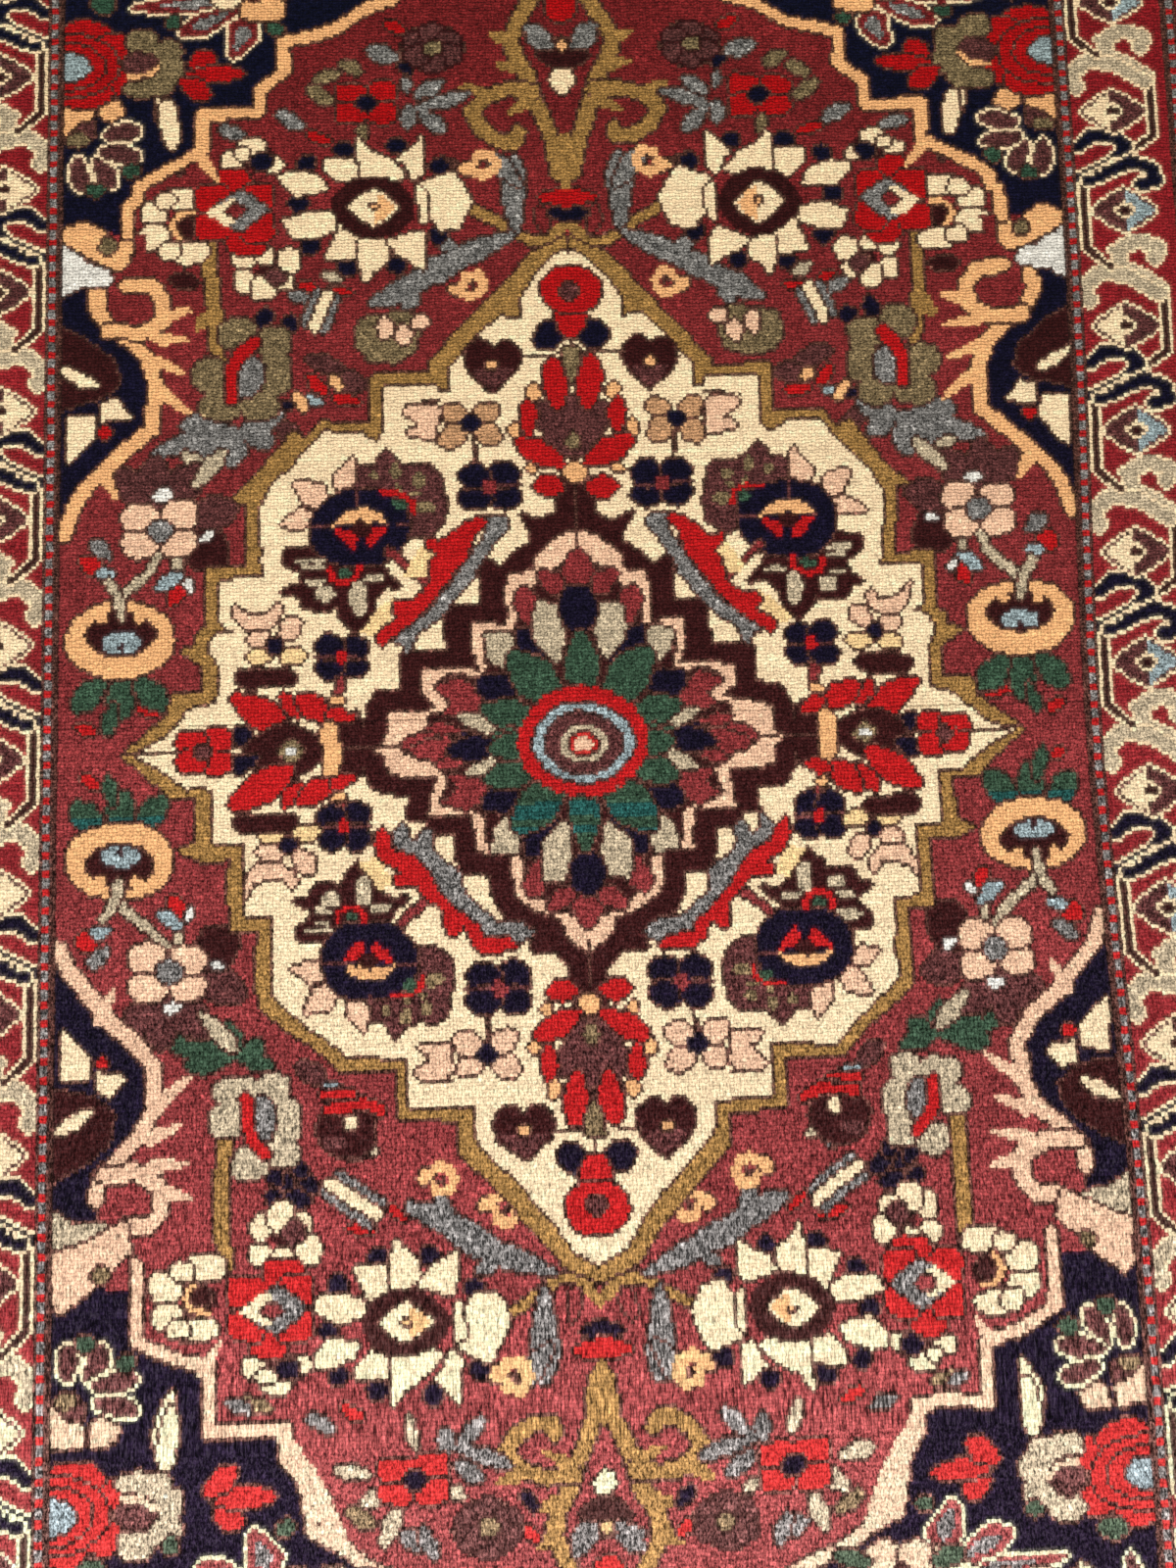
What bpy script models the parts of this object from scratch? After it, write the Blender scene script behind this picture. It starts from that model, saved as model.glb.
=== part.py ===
"""Hand-knotted medallion rug: one flat knotted cloth with its two flat-woven ends,
and an overcast wool cord down each long side.

The rug lies flat on Z = 0, its length along Y and its width along X, with the centre of
the medallion over the origin. All sizes are in metres.
"""

import math

import bmesh
import bpy
from mathutils import Matrix, Vector

# Driving dimensions of the knotted pile.
FIELD_WIDTH = 0.567
FIELD_LENGTH = 1.000
INNER_GUARD_WIDTH = 0.0093
SCROLL_BORDER_WIDTH = 0.0558
MIDDLE_GUARD_WIDTH = 0.0093
MAIN_BORDER_WIDTH = 0.0930
OUTER_GUARD_WIDTH = 0.0093
PLAIN_EDGE_WIDTH = 0.0155
RUG_THICKNESS = 0.0090
PILE_EDGE_RADIUS = 0.0018

# Flat-woven end, in one piece with the knotted cloth.
FLAT_WEAVE_LENGTH = 0.016
FLAT_WEAVE_THICKNESS = 0.0030

# Overcast cord down each long side.
CORD_WIDTH = 0.0075
CORD_HEIGHT = 0.0068
CORD_SIDES = 12
CORD_END_TAPER = 0.70
CORD_TAPER_LENGTH = 0.003
FIT_GAP = 0.0003

# The right-hand side is drawn in a little at mid length, as the loom left it.
DRAW_IN = 0.0075
DRAW_IN_REACH = 0.180
LENGTH_STEPS = 40
EDGE_BEVEL_SEGMENTS = 2

# Sizes worked out from the ones above.
BORDER_WIDTH = (INNER_GUARD_WIDTH + SCROLL_BORDER_WIDTH + MIDDLE_GUARD_WIDTH
                + MAIN_BORDER_WIDTH + OUTER_GUARD_WIDTH + PLAIN_EDGE_WIDTH)
HALF_FIELD = FIELD_WIDTH / 2
HALF_WIDTH = HALF_FIELD + BORDER_WIDTH
HALF_LENGTH = FIELD_LENGTH / 2 + BORDER_WIDTH
HALF_CLOTH = HALF_LENGTH + FLAT_WEAVE_LENGTH

# Finishes: base colour, roughness.
PILE_FINISH = ((0.27, 0.04, 0.05), 0.92)
CORD_FINISH = ((0.13, 0.035, 0.04), 0.88)


def remove_all_objects():
    """Empty the scene, so that the model stands alone."""
    for old in list(bpy.data.objects):
        bpy.data.objects.remove(old, do_unlink=True)


def wool_material(name, finish):
    """A dull wool finish."""
    colour, roughness = finish
    material = bpy.data.materials.new(name)
    material.use_nodes = True
    shader = material.node_tree.nodes["Principled BSDF"]
    shader.inputs["Base Color"].default_value = (*colour, 1.0)
    shader.inputs["Roughness"].default_value = roughness
    shader.inputs["Metallic"].default_value = 0.0
    return material


def drawn_in(x, y):
    """X of a point once the right-hand side is drawn in at mid length."""
    share = min(max(x / HALF_FIELD, 0.0), 1.0)
    return x - DRAW_IN * share * math.exp(-(y / DRAW_IN_REACH) ** 2)


def add_object(name, mesh_builder, material):
    """A named object at the origin from a finished bmesh."""
    mesh = bpy.data.meshes.new(name)
    mesh_builder.to_mesh(mesh)
    mesh_builder.free()
    mesh.materials.append(material)
    piece = bpy.data.objects.new(name, mesh)
    bpy.context.scene.collection.objects.link(piece)
    return piece


def corners_of(result):
    """The new corners that a bmesh extrusion made."""
    return [item for item in result["geom"] if isinstance(item, bmesh.types.BMVert)]


def raise_faces(cloth, faces, height):
    """Extrude a patch of faces straight up and return its new top faces."""
    raised = bmesh.ops.extrude_face_region(cloth, geom=faces)
    bmesh.ops.translate(cloth, vec=Vector((0.0, 0.0, height)), verts=corners_of(raised))
    return [item for item in raised["geom"] if isinstance(item, bmesh.types.BMFace)]


def add_flat_woven_end(cloth, end):
    """Carry the base sheet on past the pile; end is -1 or 1."""
    end_edges = [edge for edge in cloth.edges
                 if all(corner.co.y * end > HALF_LENGTH - FIT_GAP for corner in edge.verts)]
    grown = bmesh.ops.extrude_edge_only(cloth, edges=end_edges)
    bmesh.ops.translate(cloth, vec=Vector((0.0, end * FLAT_WEAVE_LENGTH, 0.0)),
                        verts=corners_of(grown))


def rug_cloth():
    """The whole cloth: knotted pile between two thin flat-woven ends."""
    cloth = bmesh.new()
    bmesh.ops.create_grid(cloth, x_segments=1, y_segments=LENGTH_STEPS, size=1.0)
    bmesh.ops.scale(cloth, vec=Vector((HALF_WIDTH, HALF_LENGTH, 1.0)), verts=cloth.verts)
    for end in (-1, 1):
        add_flat_woven_end(cloth, end)
    for corner in cloth.verts:
        corner.co.x = drawn_in(corner.co.x, corner.co.y)

    woven_top = raise_faces(cloth, list(cloth.faces), FLAT_WEAVE_THICKNESS)
    pile_base = [face for face in woven_top
                 if abs(face.calc_center_median().y) < HALF_LENGTH]
    pile_top = raise_faces(cloth, pile_base, RUG_THICKNESS - FLAT_WEAVE_THICKNESS)
    bmesh.ops.delete(cloth, geom=pile_base, context="FACES_ONLY")
    rim = [edge for face in pile_top for edge in face.edges
           if sum(neighbour in pile_top for neighbour in edge.link_faces) == 1]
    bmesh.ops.bevel(cloth, geom=rim, offset=PILE_EDGE_RADIUS, offset_type="OFFSET",
                    affect="EDGES", segments=EDGE_BEVEL_SEGMENTS, profile=0.5,
                    material=-1, clamp_overlap=True)
    bmesh.ops.recalc_face_normals(cloth, faces=cloth.faces)
    return cloth


def side_cord(side):
    """One overcast cord, following its long side; side is -1 for left and 1 for right."""
    cord = bmesh.new()
    bmesh.ops.create_cone(cord, cap_ends=True, segments=CORD_SIDES, radius1=0.5,
                          radius2=0.5, depth=2 * HALF_LENGTH)
    bmesh.ops.rotate(cord, verts=cord.verts, cent=Vector((0.0, 0.0, 0.0)),
                     matrix=Matrix.Rotation(math.radians(90.0), 3, "X"))
    step = 2 * HALF_LENGTH / LENGTH_STEPS
    cuts = [-HALF_LENGTH + i * step for i in range(1, LENGTH_STEPS)]
    cuts += [-HALF_LENGTH + CORD_TAPER_LENGTH, HALF_LENGTH - CORD_TAPER_LENGTH]
    for y in cuts:
        everything = list(cord.verts) + list(cord.edges) + list(cord.faces)
        bmesh.ops.bisect_plane(cord, geom=everything, plane_co=Vector((0.0, y, 0.0)),
                               plane_no=Vector((0.0, 1.0, 0.0)), dist=FIT_GAP)
    for corner in cord.verts:
        y = corner.co.y
        at_tip = abs(y) > HALF_LENGTH - CORD_TAPER_LENGTH / 2
        share = CORD_END_TAPER if at_tip else 1.0
        centre = drawn_in(side * HALF_WIDTH, y) + side * (FIT_GAP + CORD_WIDTH / 2)
        corner.co.x = centre + corner.co.x * CORD_WIDTH * share
        corner.co.z = CORD_HEIGHT / 2 + corner.co.z * CORD_HEIGHT * share
    bmesh.ops.recalc_face_normals(cord, faces=cord.faces)
    return cord


def main():
    remove_all_objects()
    pile_wool = wool_material("pile_wool", PILE_FINISH)
    cord_wool = wool_material("cord_wool", CORD_FINISH)
    add_object("rug_cloth", rug_cloth(), pile_wool)
    add_object("side_cord_left", side_cord(-1), cord_wool)
    add_object("side_cord_right", side_cord(1), cord_wool)


main()
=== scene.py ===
"""Hand-knotted medallion rug: the looks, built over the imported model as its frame.

The pile is worked from a chart, one tuft for each place on it, and stands on a woven base
with flat-woven ends and an overcast cord down each side. A knot in this script is one place
on the chart, and their number isn't a count of the real rug's knots. The rug lies on Z = 0
with its length along Y. The meshes are in metres and the chart is in millimetres.
"""

import math
from functools import lru_cache

import bmesh
import bpy
import numpy as np
from bpy.props import FloatProperty, FloatVectorProperty, IntProperty, PointerProperty
from mathutils import Matrix, Vector


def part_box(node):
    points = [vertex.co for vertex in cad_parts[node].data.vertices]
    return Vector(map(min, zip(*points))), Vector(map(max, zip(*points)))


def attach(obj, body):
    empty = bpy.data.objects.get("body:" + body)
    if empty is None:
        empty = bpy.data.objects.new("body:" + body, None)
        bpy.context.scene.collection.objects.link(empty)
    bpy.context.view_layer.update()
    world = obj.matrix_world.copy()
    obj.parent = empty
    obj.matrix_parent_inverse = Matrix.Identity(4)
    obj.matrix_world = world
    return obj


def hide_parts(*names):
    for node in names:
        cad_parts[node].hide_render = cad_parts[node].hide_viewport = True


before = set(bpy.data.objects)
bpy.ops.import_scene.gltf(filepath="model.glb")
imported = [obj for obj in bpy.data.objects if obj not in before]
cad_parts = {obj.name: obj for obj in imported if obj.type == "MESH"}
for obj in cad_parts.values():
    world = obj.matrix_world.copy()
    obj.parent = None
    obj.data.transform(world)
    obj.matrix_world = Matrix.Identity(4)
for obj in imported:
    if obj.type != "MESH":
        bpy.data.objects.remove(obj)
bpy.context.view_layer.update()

bl_info = {
    "name": "Knotted Medallion Rug",
    "version": (1, 0, 0),
    "blender": (4, 5, 0),
    "location": "View3D > Sidebar > Rug",
    "description": "Knots a medallion rug with its woven ends, side cords, light and camera",
    "category": "Add Mesh",
}

CLOTH_LOW, CLOTH_HIGH = (np.array(corner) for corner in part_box("rug_cloth"))
CORD_LOW, CORD_HIGH = (np.array(corner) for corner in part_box("side_cord_left"))

# Driving dimensions of the knotting, in millimetres on the chart.
COLUMNS = 511
HALF_COLUMNS = (COLUMNS + 1) // 2
FIELD_COLUMNS = 305
PILE_ROWS = 714
FAR_ROW = 1.82
NEAR_ROW = 2.06
HALF_FIELD = 283.5
HALF_FIELD_LENGTH = 500.0
GUARD = 9.3
SCROLL = 55.8
MAIN = 93.0
PLAIN_EDGE = 15.5
SCROLL_REPEAT = 134.5
MAIN_REPEAT = 166.0
GUARD_DASH = 4.6
# How far along the hooked border lies, on the left and on the right.
SIDE_SHIFTS = (22.0, -15.0)
UNSTEADY = 0.9
# The paler, brighter near end, partly faded wool and partly painted sheen and light: what it
# gains in red, green and blue in painted light, the colour it is paled towards, where along the
# rug that starts and over how much of the length it grows, how much is taken and gained, and how
# much less of it the navy takes.
NEAR_PAINTED_LIGHT = (-0.02, 0.06, 0.26)
SHEEN_AND_FADE_TINT = (0.66, 0.44, 0.36)
SHEEN_AND_FADE_START = 0.30
SHEEN_AND_FADE_REACH = 0.12
SHEEN_AND_FADE_SHARE = 0.06
SHEEN_AND_FADE_GAIN = 0.35
NAVY_SPARED = 0.055
# The colour of the painted highlights on the tips of loose hairs.
LOOSE_HAIR_HIGHLIGHT = (0.42, 0.38, 0.38, 1.0)
DRAW_IN = 7.5
DRAW_IN_REACH = 180.0
FLAT_WEAVE_LENGTH = 16.0
# Rings of faces on the side cord for each turn of its wool, and its girth on the finish's map.
RINGS_A_WRAP = 3
GIRTH_ON_MAP = 0.016
# The furthest that a tuft strays, in shares of the setting, and how many tufts the edge rounds.
MOST_STRAY = 2.0
EDGE_TUFTS = 2.0

# The photograph's camera: the point of the floor it stands over, which way it looks and which
# way is up in its picture, its focal length and the length of its frame in millimetres.
CAMERA_OVER = (-0.01042, -0.08112)
CAMERA_LOOK = (0.019626, 0.090896, -0.995667)
CAMERA_UP = (0.028919, 0.995390, 0.091441)
FOCAL_LENGTH = 27.0
FRAME_LENGTH = 36.0
NEAREST_SEEN = 0.01
# The soft light, the tint of the even light all round, and half the side of the floor.
KEY_SIZE = (1.6, 1.0)
KEY_PLACE = (-0.5, -1.1, 1.9)
ROOM_TINT = (1.0, 0.985, 0.96, 1.0)
FLOOR_REACH = 6.0

# Seeds of the random draws.
TUFT_SEED = 5
DYE_SEED = 9
RIPPLE_SEEDS = (11, 12)
BACK_SEED = 21
END_SEED = 31
CORD_SEED = 41

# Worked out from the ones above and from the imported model.
KNOT_WIDTH = 2 * CLOTH_HIGH[0] * 1000 / COLUMNS
PILE_HALF_LENGTH = CLOTH_HIGH[1] * 1000 - FLAT_WEAVE_LENGTH
END_ROW = 2 * PILE_HALF_LENGTH / PILE_ROWS * 0.97
METRE = 0.001
CORD_GAP = 0.0003
CORD_TAPER = 3.0
WOVEN_TOP = 0.0028


# ----------------------------------------------------------------- yarns and the knot chart

# One row for each yarn: name, how mixed its fibres are from knot to knot, how far it pales at the
# near end of the rug, partly faded wool and partly painted sheen, and how much brighter it stands
# there in painted light.
YARNS = (
    ("madder", 0.14, 0.44, 0.16),
    ("scarlet", 0.07, 0.11, 0.75),
    ("navy", 0.16, 0.02, 0.35),
    ("aubergine", 0.12, 0.05, 0.05),
    ("umber", 0.26, 0.10, 0.00),
    ("ivory", 0.05, 0.00, 0.00),
    ("cream", 0.06, 0.05, 0.00),
    ("peach", 0.05, 0.04, 0.04),
    ("pink", 0.07, 0.02, 0.02),
    ("gold", 0.13, 0.06, 0.28),
    ("olive", 0.20, 0.08, 0.20),
    ("khaki", 0.13, 0.06, 0.14),
    ("grey", 0.24, 0.05, 0.15),
    ("sky", 0.15, 0.05, 0.00),
    ("green", 0.16, 0.03, 0.45),
    ("teal", 0.15, 0.03, 0.10),
    ("silver", 0.08, 0.00, 0.00),
    ("crimson", 0.10, 0.25, 0.10),
    ("brown", 0.20, 0.10, 0.05),
    ("tan", 0.10, 0.05, 0.02),
)
(MADDER, SCARLET, NAVY, AUBERGINE, UMBER, IVORY, CREAM, PEACH, PINK, GOLD, OLIVE, KHAKI,
 GREY, SKY, GREEN, TEAL, SILVER, CRIMSON, BROWN, TAN) = range(len(YARNS))


def row_heights():
    """Where each row of knots ends, in millimetres: the far rows are beaten closer."""
    steps = np.arange(PILE_ROWS + 1)
    pitch = FAR_ROW + (NEAR_ROW - FAR_ROW) * np.clip(1.25 - 1.5 * steps / PILE_ROWS, 0.0, 1.0)
    edges = np.concatenate(([0.0], np.cumsum(pitch[:-1])))
    return edges * (2 * PILE_HALF_LENGTH / edges[-1]) - PILE_HALF_LENGTH


def ripple(first, second, seed, reach):
    """A slow seeded wave over the rug, in millimetres."""
    dice = np.random.default_rng(seed)
    total = np.zeros(np.broadcast(first, second).shape)
    for _ in range(5):
        across, along = dice.uniform(-1.0, 1.0, 2)
        pace = 2 * math.pi / dice.uniform(38.0, 120.0)
        total += np.sin(pace * (across * first + along * second) + dice.uniform(0.0, 6.3))
    return total * reach / 2.2


class Chart:
    """The knot plan: a yarn for every knot, folded along the middle warp.

    The first axis of each array is the left or right half, the second the rows from the
    near end and the third the columns from the middle warp outwards.
    """

    def __init__(self):
        ends = row_heights()
        self.column_width = KNOT_WIDTH
        self.row_middles = (ends[1:] + ends[:-1]) / 2
        columns = np.arange(HALF_COLUMNS) * KNOT_WIDTH
        self.yarn = np.full((2, PILE_ROWS, HALF_COLUMNS), MADDER)
        rows = self.row_middles[None, :, None]
        sides = np.array((-1.0, 1.0))[:, None, None]
        self.across = columns + ripple(sides * columns, rows, RIPPLE_SEEDS[0], UNSTEADY)
        self.along = rows + ripple(sides * columns, rows, RIPPLE_SEEDS[1], UNSTEADY)

    def whole(self):
        """The chart laid open: rows by columns, from the left edge to the right."""
        return np.concatenate((self.yarn[0, :, :0:-1], self.yarn[1]), axis=1)


def grown(inside):
    """A patch of knots with one more knot all round it."""
    wider = inside.copy()
    wider[:, 1:] |= inside[:, :-1]
    wider[:, :-1] |= inside[:, 1:]
    wider[:, :, 1:] |= inside[:, :, :-1]
    wider[:, :, :-1] |= inside[:, :, 1:]
    return wider


class Pen:
    """Draws one motif in its own millimetres: x away from the middle warp, y upwards."""

    def __init__(self, chart, x=0.0, y=0.0, up=1, size=1.0):
        self.chart = chart
        self.place = x, y
        self.scale = size, size * up

    def window(self, points, margin=8.0):
        """The knots round some points of the motif, and where they lie in the motif."""
        spots = [(self.place[0] + x * self.scale[0], self.place[1] + y * self.scale[1])
                 for x, y in points]
        left, low = (min(spot[axis] for spot in spots) - margin for axis in (0, 1))
        right, high = (max(spot[axis] for spot in spots) + margin for axis in (0, 1))
        rows = np.searchsorted(self.chart.row_middles, (low, high))
        columns = np.clip((left / self.chart.column_width, right / self.chart.column_width + 1), 0,
                          self.chart.yarn.shape[2])
        area = (slice(None), slice(*rows), slice(*columns.astype(int)))
        x = (self.chart.across[area] - self.place[0]) / self.scale[0]
        y = (self.chart.along[area] - self.place[1]) / self.scale[1]
        return area, x, y

    def knot(self, area, inside, yarn, outline):
        """Work the knots of a patch, with a one-knot outline first."""
        if outline is not None:
            self.chart.yarn[area][grown(inside)] = outline
        self.chart.yarn[area][inside] = yarn

    def oval(self, yarn, x, y, half_x, half_y, outline=UMBER, power=2.0):
        """A disc, or a lozenge at power 1 and a block at high powers."""
        corners = ((x - half_x, y - half_y), (x + half_x, y + half_y))
        area, at_x, at_y = self.window(corners)
        inside = (np.abs((at_x - x) / half_x) ** power
                  + np.abs((at_y - y) / half_y) ** power) <= 1.0
        self.knot(area, inside, yarn, outline)

    def petal(self, yarn, x0, y0, x1, y1, width, outline=UMBER, widest=0.6, fullness=0.5):
        """A petal or leaf from its foot to its tip."""
        area, at_x, at_y = self.window(((x0, y0), (x1, y1)), margin=8.0 + width / 2)
        run_x, run_y = x1 - x0, y1 - y0
        length = math.hypot(run_x, run_y)
        share = ((at_x - x0) * run_x + (at_y - y0) * run_y) / length ** 2
        off = np.abs((at_x - x0) * run_y - (at_y - y0) * run_x) / length
        swell = np.clip(np.minimum(share / widest, (1 - share) / (1 - widest)), 0.0, 1.0)
        self.knot(area, off < width / 2 * swell ** fullness, yarn, outline)

    def bunch(self, yarn, leaves, outline=UMBER):
        """Leaves that grow into one another, with one outline round them all."""
        for line in (outline, None):
            for leaf in leaves:
                self.petal(yarn, *leaf, line)

    def stroke(self, yarn, points, width, outline=UMBER):
        """A stem or band along points."""
        area, at_x, at_y = self.window(points, margin=8.0 + width / 2)
        inside = np.zeros(at_x.shape, bool)
        for (x0, y0), (x1, y1) in zip(points, points[1:]):
            run_x, run_y = x1 - x0, y1 - y0
            share = ((at_x - x0) * run_x + (at_y - y0) * run_y) / (run_x ** 2 + run_y ** 2)
            share = np.clip(share, 0.0, 1.0)
            off = np.hypot(at_x - x0 - share * run_x, at_y - y0 - share * run_y)
            inside |= off <= width / 2
        self.knot(area, inside, yarn, outline)

    def patch(self, yarn, points, outline=UMBER):
        """A plain area between corners."""
        area, at_x, at_y = self.window(points)
        inside = np.zeros(at_x.shape, bool)
        for (x0, y0), (x1, y1) in zip(points, points[1:] + points[:1]):
            if y0 == y1:
                continue
            crossed = (y0 > at_y) != (y1 > at_y)
            inside ^= crossed & (at_x < x0 + (x1 - x0) * (at_y - y0) / (y1 - y0))
        self.knot(area, inside, yarn, outline)


# ----------------------------------------------------------------- the medallion

# Corners of the stepped outlines, from the middle warp out to the side, far half then near.
GOLD_EDGE = (
    [(0, 290), (10, 284), (22, 280), (36, 262), (50, 247), (79, 218), (80, 211), (112, 211),
     (112, 183), (141, 183), (151, 172), (157, 178), (181, 148), (189, 141), (181, 138),
     (181, 101), (203, 101), (203, 70), (208, 67), (209, 60), (217, 57), (205, 48),
     (205, 31), (222, 31), (224, 20), (238, 9), (250, 0)],
    [(0, -284), (20, -276), (30, -262), (66, -222), (72, -216), (72, -199), (104, -199),
     (104, -172), (135, -172), (152, -156), (176, -136), (176, -95), (191, -95), (191, -58),
     (206, -58), (218, -52), (208, -48), (208, -25), (222, -25), (238, -9), (250, 0)],
)
GROUND_EDGE = (
    [(0, 281), (10, 276), (20, 265), (28, 250), (28, 240), (40, 242), (50, 233), (68, 215),
     (68, 199), (76, 199), (76, 204), (105, 204), (105, 177), (110, 171), (120, 177),
     (139, 177), (168, 147), (174, 135), (172, 95), (196, 95), (196, 72), (189, 67),
     (200, 65), (201, 55), (197, 48), (197, 26), (212, 22), (228, 6), (243, 0)],
    [(0, -275), (14, -268), (24, -252), (60, -213), (64, -206), (64, -192), (97, -192),
     (97, -165), (131, -165), (148, -150), (168, -131), (168, -88), (183, -88), (183, -50),
     (199, -50), (199, -20), (214, -20), (230, -7), (243, 0)],
)
BROWN_EDGE = (
    [(0, 150), (9, 150), (9, 129), (20, 124), (32, 129), (26, 119), (24, 112), (34, 106),
     (43, 99), (54, 105), (53, 77), (72, 77), (72, 52), (98, 52), (98, 30), (112, 29),
     (117, 22), (119, 9), (122, 20), (134, 14), (134, 0)],
    [(0, -146), (9, -146), (9, -122), (20, -112), (32, -114), (28, -104), (48, -92),
     (52, -80), (52, -70), (66, -69), (71, -62), (71, -48), (84, -47), (86, -41), (96, -41),
     (95, -27), (111, -26), (117, -19), (119, -9), (122, -18), (134, -13), (134, 0)],
)
PEACH_EDGE = (
    [(0, 118), (13, 113), (24, 102), (24, 95), (38, 94), (40, 88), (40, 65), (58, 67),
     (59, 52), (54, 41), (86, 41), (86, 29), (78, 22), (106, 18), (107, 5), (113, 0)],
    [(0, -113), (12, -105), (14, -96), (28, -90), (39, -82), (41, -59), (59, -58),
     (60, -38), (84, -38), (82, -25), (80, -17), (106, -15), (107, -5), (113, 0)],
)
INNER_EDGE = (
    [(0, 101), (14, 95), (22, 88), (26, 82), (33, 84), (34, 68), (36, 62), (52, 60), (52, 48),
     (50, 42), (56, 36), (70, 38), (79, 34), (74, 27), (62, 22), (70, 19), (82, 18), (84, 14),
     (78, 10), (96, 4), (101, 0)],
    [(0, -98), (12, -92), (20, -88), (28, -80), (34, -76), (34, -62), (40, -56), (52, -54),
     (53, -44), (54, -38), (62, -34), (78, -30), (74, -24), (72, -17), (79, -13), (74, -8),
     (90, -5), (101, 0)],
)


def stepped_band(chart, edges, yarn, outline=UMBER):
    """Fill inside a stepped outline, both halves."""
    pen = Pen(chart)
    for corners in edges:
        pen.patch(yarn, [(0, 0)] + corners, outline)


def central_rosette(chart):
    """Rings in the middle, twelve dark green petals and the leaves round them."""
    for up in (1, -1):
        pen = Pen(chart, up=up, size=1.0 if up > 0 else 0.96)
        pen.petal(MADDER, 0, 76, 0, 106, 22, widest=0.4)
        pen.petal(MADDER, 8, 84, 22, 94, 12, widest=0.3)
        pen.petal(MADDER, 32, 86, 25, 62, 13, widest=0.25)
        pen.patch(MADDER, [(80, 32), (66, 37), (57, 30), (50, 21), (60, 16), (76, 18), (70, 25)])
        pen.petal(MADDER, 64, 2, 98, 2, 16, widest=0.4)
        pen.petal(MADDER, 66, 8, 84, 12, 7)
        pen.patch(KHAKI, [(24, 78), (13, 77), (9, 62), (11, 48), (17, 40), (24, 52), (26, 64)])
        pen.patch(KHAKI, [(53, 61), (39, 62), (36, 54), (37, 45), (44, 42), (51, 49)])
        pen.patch(KHAKI, [(68, 17), (54, 16), (42, 7), (44, 2), (58, 7)])
        pen.oval(NAVY, 0, 74, 10, 13)
        pen.patch(NAVY, [(35, 64), (28, 63), (26, 55), (18, 47), (14, 42), (26, 44), (35, 52)])
        pen.patch(NAVY, [(57, 37), (46, 39), (39, 36), (36, 29), (42, 24), (52, 24), (57, 29)])
        pen.petal(NAVY, 50, 0, 78, 2, 15, widest=0.45)
        pen.petal(GREEN, 0, 22, 0, 62, 20, widest=0.5)
        pen.petal(GREEN, 10, 18, 40, 50, 24, widest=0.55)
        pen.petal(GREEN, 22, 10, 56, 20, 18, widest=0.5)
        pen.petal(GREEN, 24, 0, 54, 2, 15, widest=0.5)
    for low, high in ((-41, -33), (-49, -46)):
        chart.yarn[(chart.yarn == GREEN) & (chart.along > low) & (chart.along < high)] = TEAL
    pen = Pen(chart)
    pen.oval(SCARLET, 0, 0, 34, 29.5)
    for share in range(14):
        angle = math.pi * share / 14
        pen.oval(SCARLET, 32.5 * math.sin(angle), 28 * math.cos(angle), 3.6, 3.4, None)
    for yarn, radius, edge in ((SKY, 27, UMBER), (BROWN, 20.5, UMBER), (KHAKI, 13, None),
                               (SCARLET, 7.5, UMBER), (PINK, 5, None)):
        pen.oval(yarn, 0, 0, radius, radius * 0.8, edge)


def serrated_leaves(chart):
    """Four long scarlet leaves with a heathered grey inner side, along the brown band."""
    pen = Pen(chart)
    pen.stroke(MADDER, [(104, 108), (83, 89)], 4)
    pen.stroke(MADDER, [(100, -95), (87, -84)], 4)
    pen.patch(CREAM, [(96, 94), (84, 112), (74, 116), (80, 104), (82, 92)], None)
    pen.patch(CREAM, [(112, 62), (122, 66), (110, 78), (100, 84), (104, 72)], None)
    pen.patch(CREAM, [(112, -58), (122, -62), (110, -78), (104, -72)], None)
    pen.patch(GREY, [(104, 60), (92, 67), (82, 75), (70, 88), (62, 102), (50, 118), (52, 127),
                     (40, 126), (38, 121), (48, 110), (56, 99), (58, 92), (67, 81), (74, 73),
                     (80, 68), (88, 63), (91, 57), (95, 51), (97, 59)])
    pen.patch(SCARLET, [(109, 56), (112, 64), (107, 68), (99, 72), (103, 76), (102, 81),
                        (91, 82), (86, 85), (82, 90), (81, 101), (77, 105), (83, 110), (83, 115),
                        (76, 113), (70, 118), (62, 124), (53, 127), (50, 123), (58, 116),
                        (63, 102), (71, 92), (80, 80), (93, 68), (104, 61)])
    pen.patch(GREY, [(106, -50), (101, -46), (97, -42), (96, -50), (92, -53), (87, -46),
                     (82, -47), (84, -56), (80, -62), (68, -70), (67, -81), (57, -91),
                     (50, -97), (36, -98), (29, -103), (36, -109), (58, -108), (68, -93),
                     (80, -78), (92, -61)])
    pen.patch(SCARLET, [(111, -43), (114, -52), (110, -61), (99, -67), (104, -70), (103, -74),
                        (92, -75), (86, -82), (78, -89), (77, -102), (72, -102), (68, -97),
                        (63, -109), (57, -114), (37, -112), (42, -107), (57, -106),
                        (60, -99), (70, -90), (80, -80), (85, -70), (92, -61), (103, -56),
                        (106, -48)])


# ----------------------------------------------------------------- flowers on the ivory ground


def round_flower(pen, body, centre, half_x=17, half_y=13):
    """Four round petals about a small centre, with a pale thread between them."""
    for x, y in ((-1, -1), (1, -1), (-1, 1), (1, 1)):
        pen.oval(body, x * half_x * 0.48, y * half_y * 0.48, half_x * 0.52, half_y * 0.53)
    pen.stroke(BROWN, [(-half_x - 1, 0), (half_x + 1, 0)], 1.4, None)
    pen.oval(centre, 0, 0, half_x * 0.24, half_y * 0.34, None)


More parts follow.
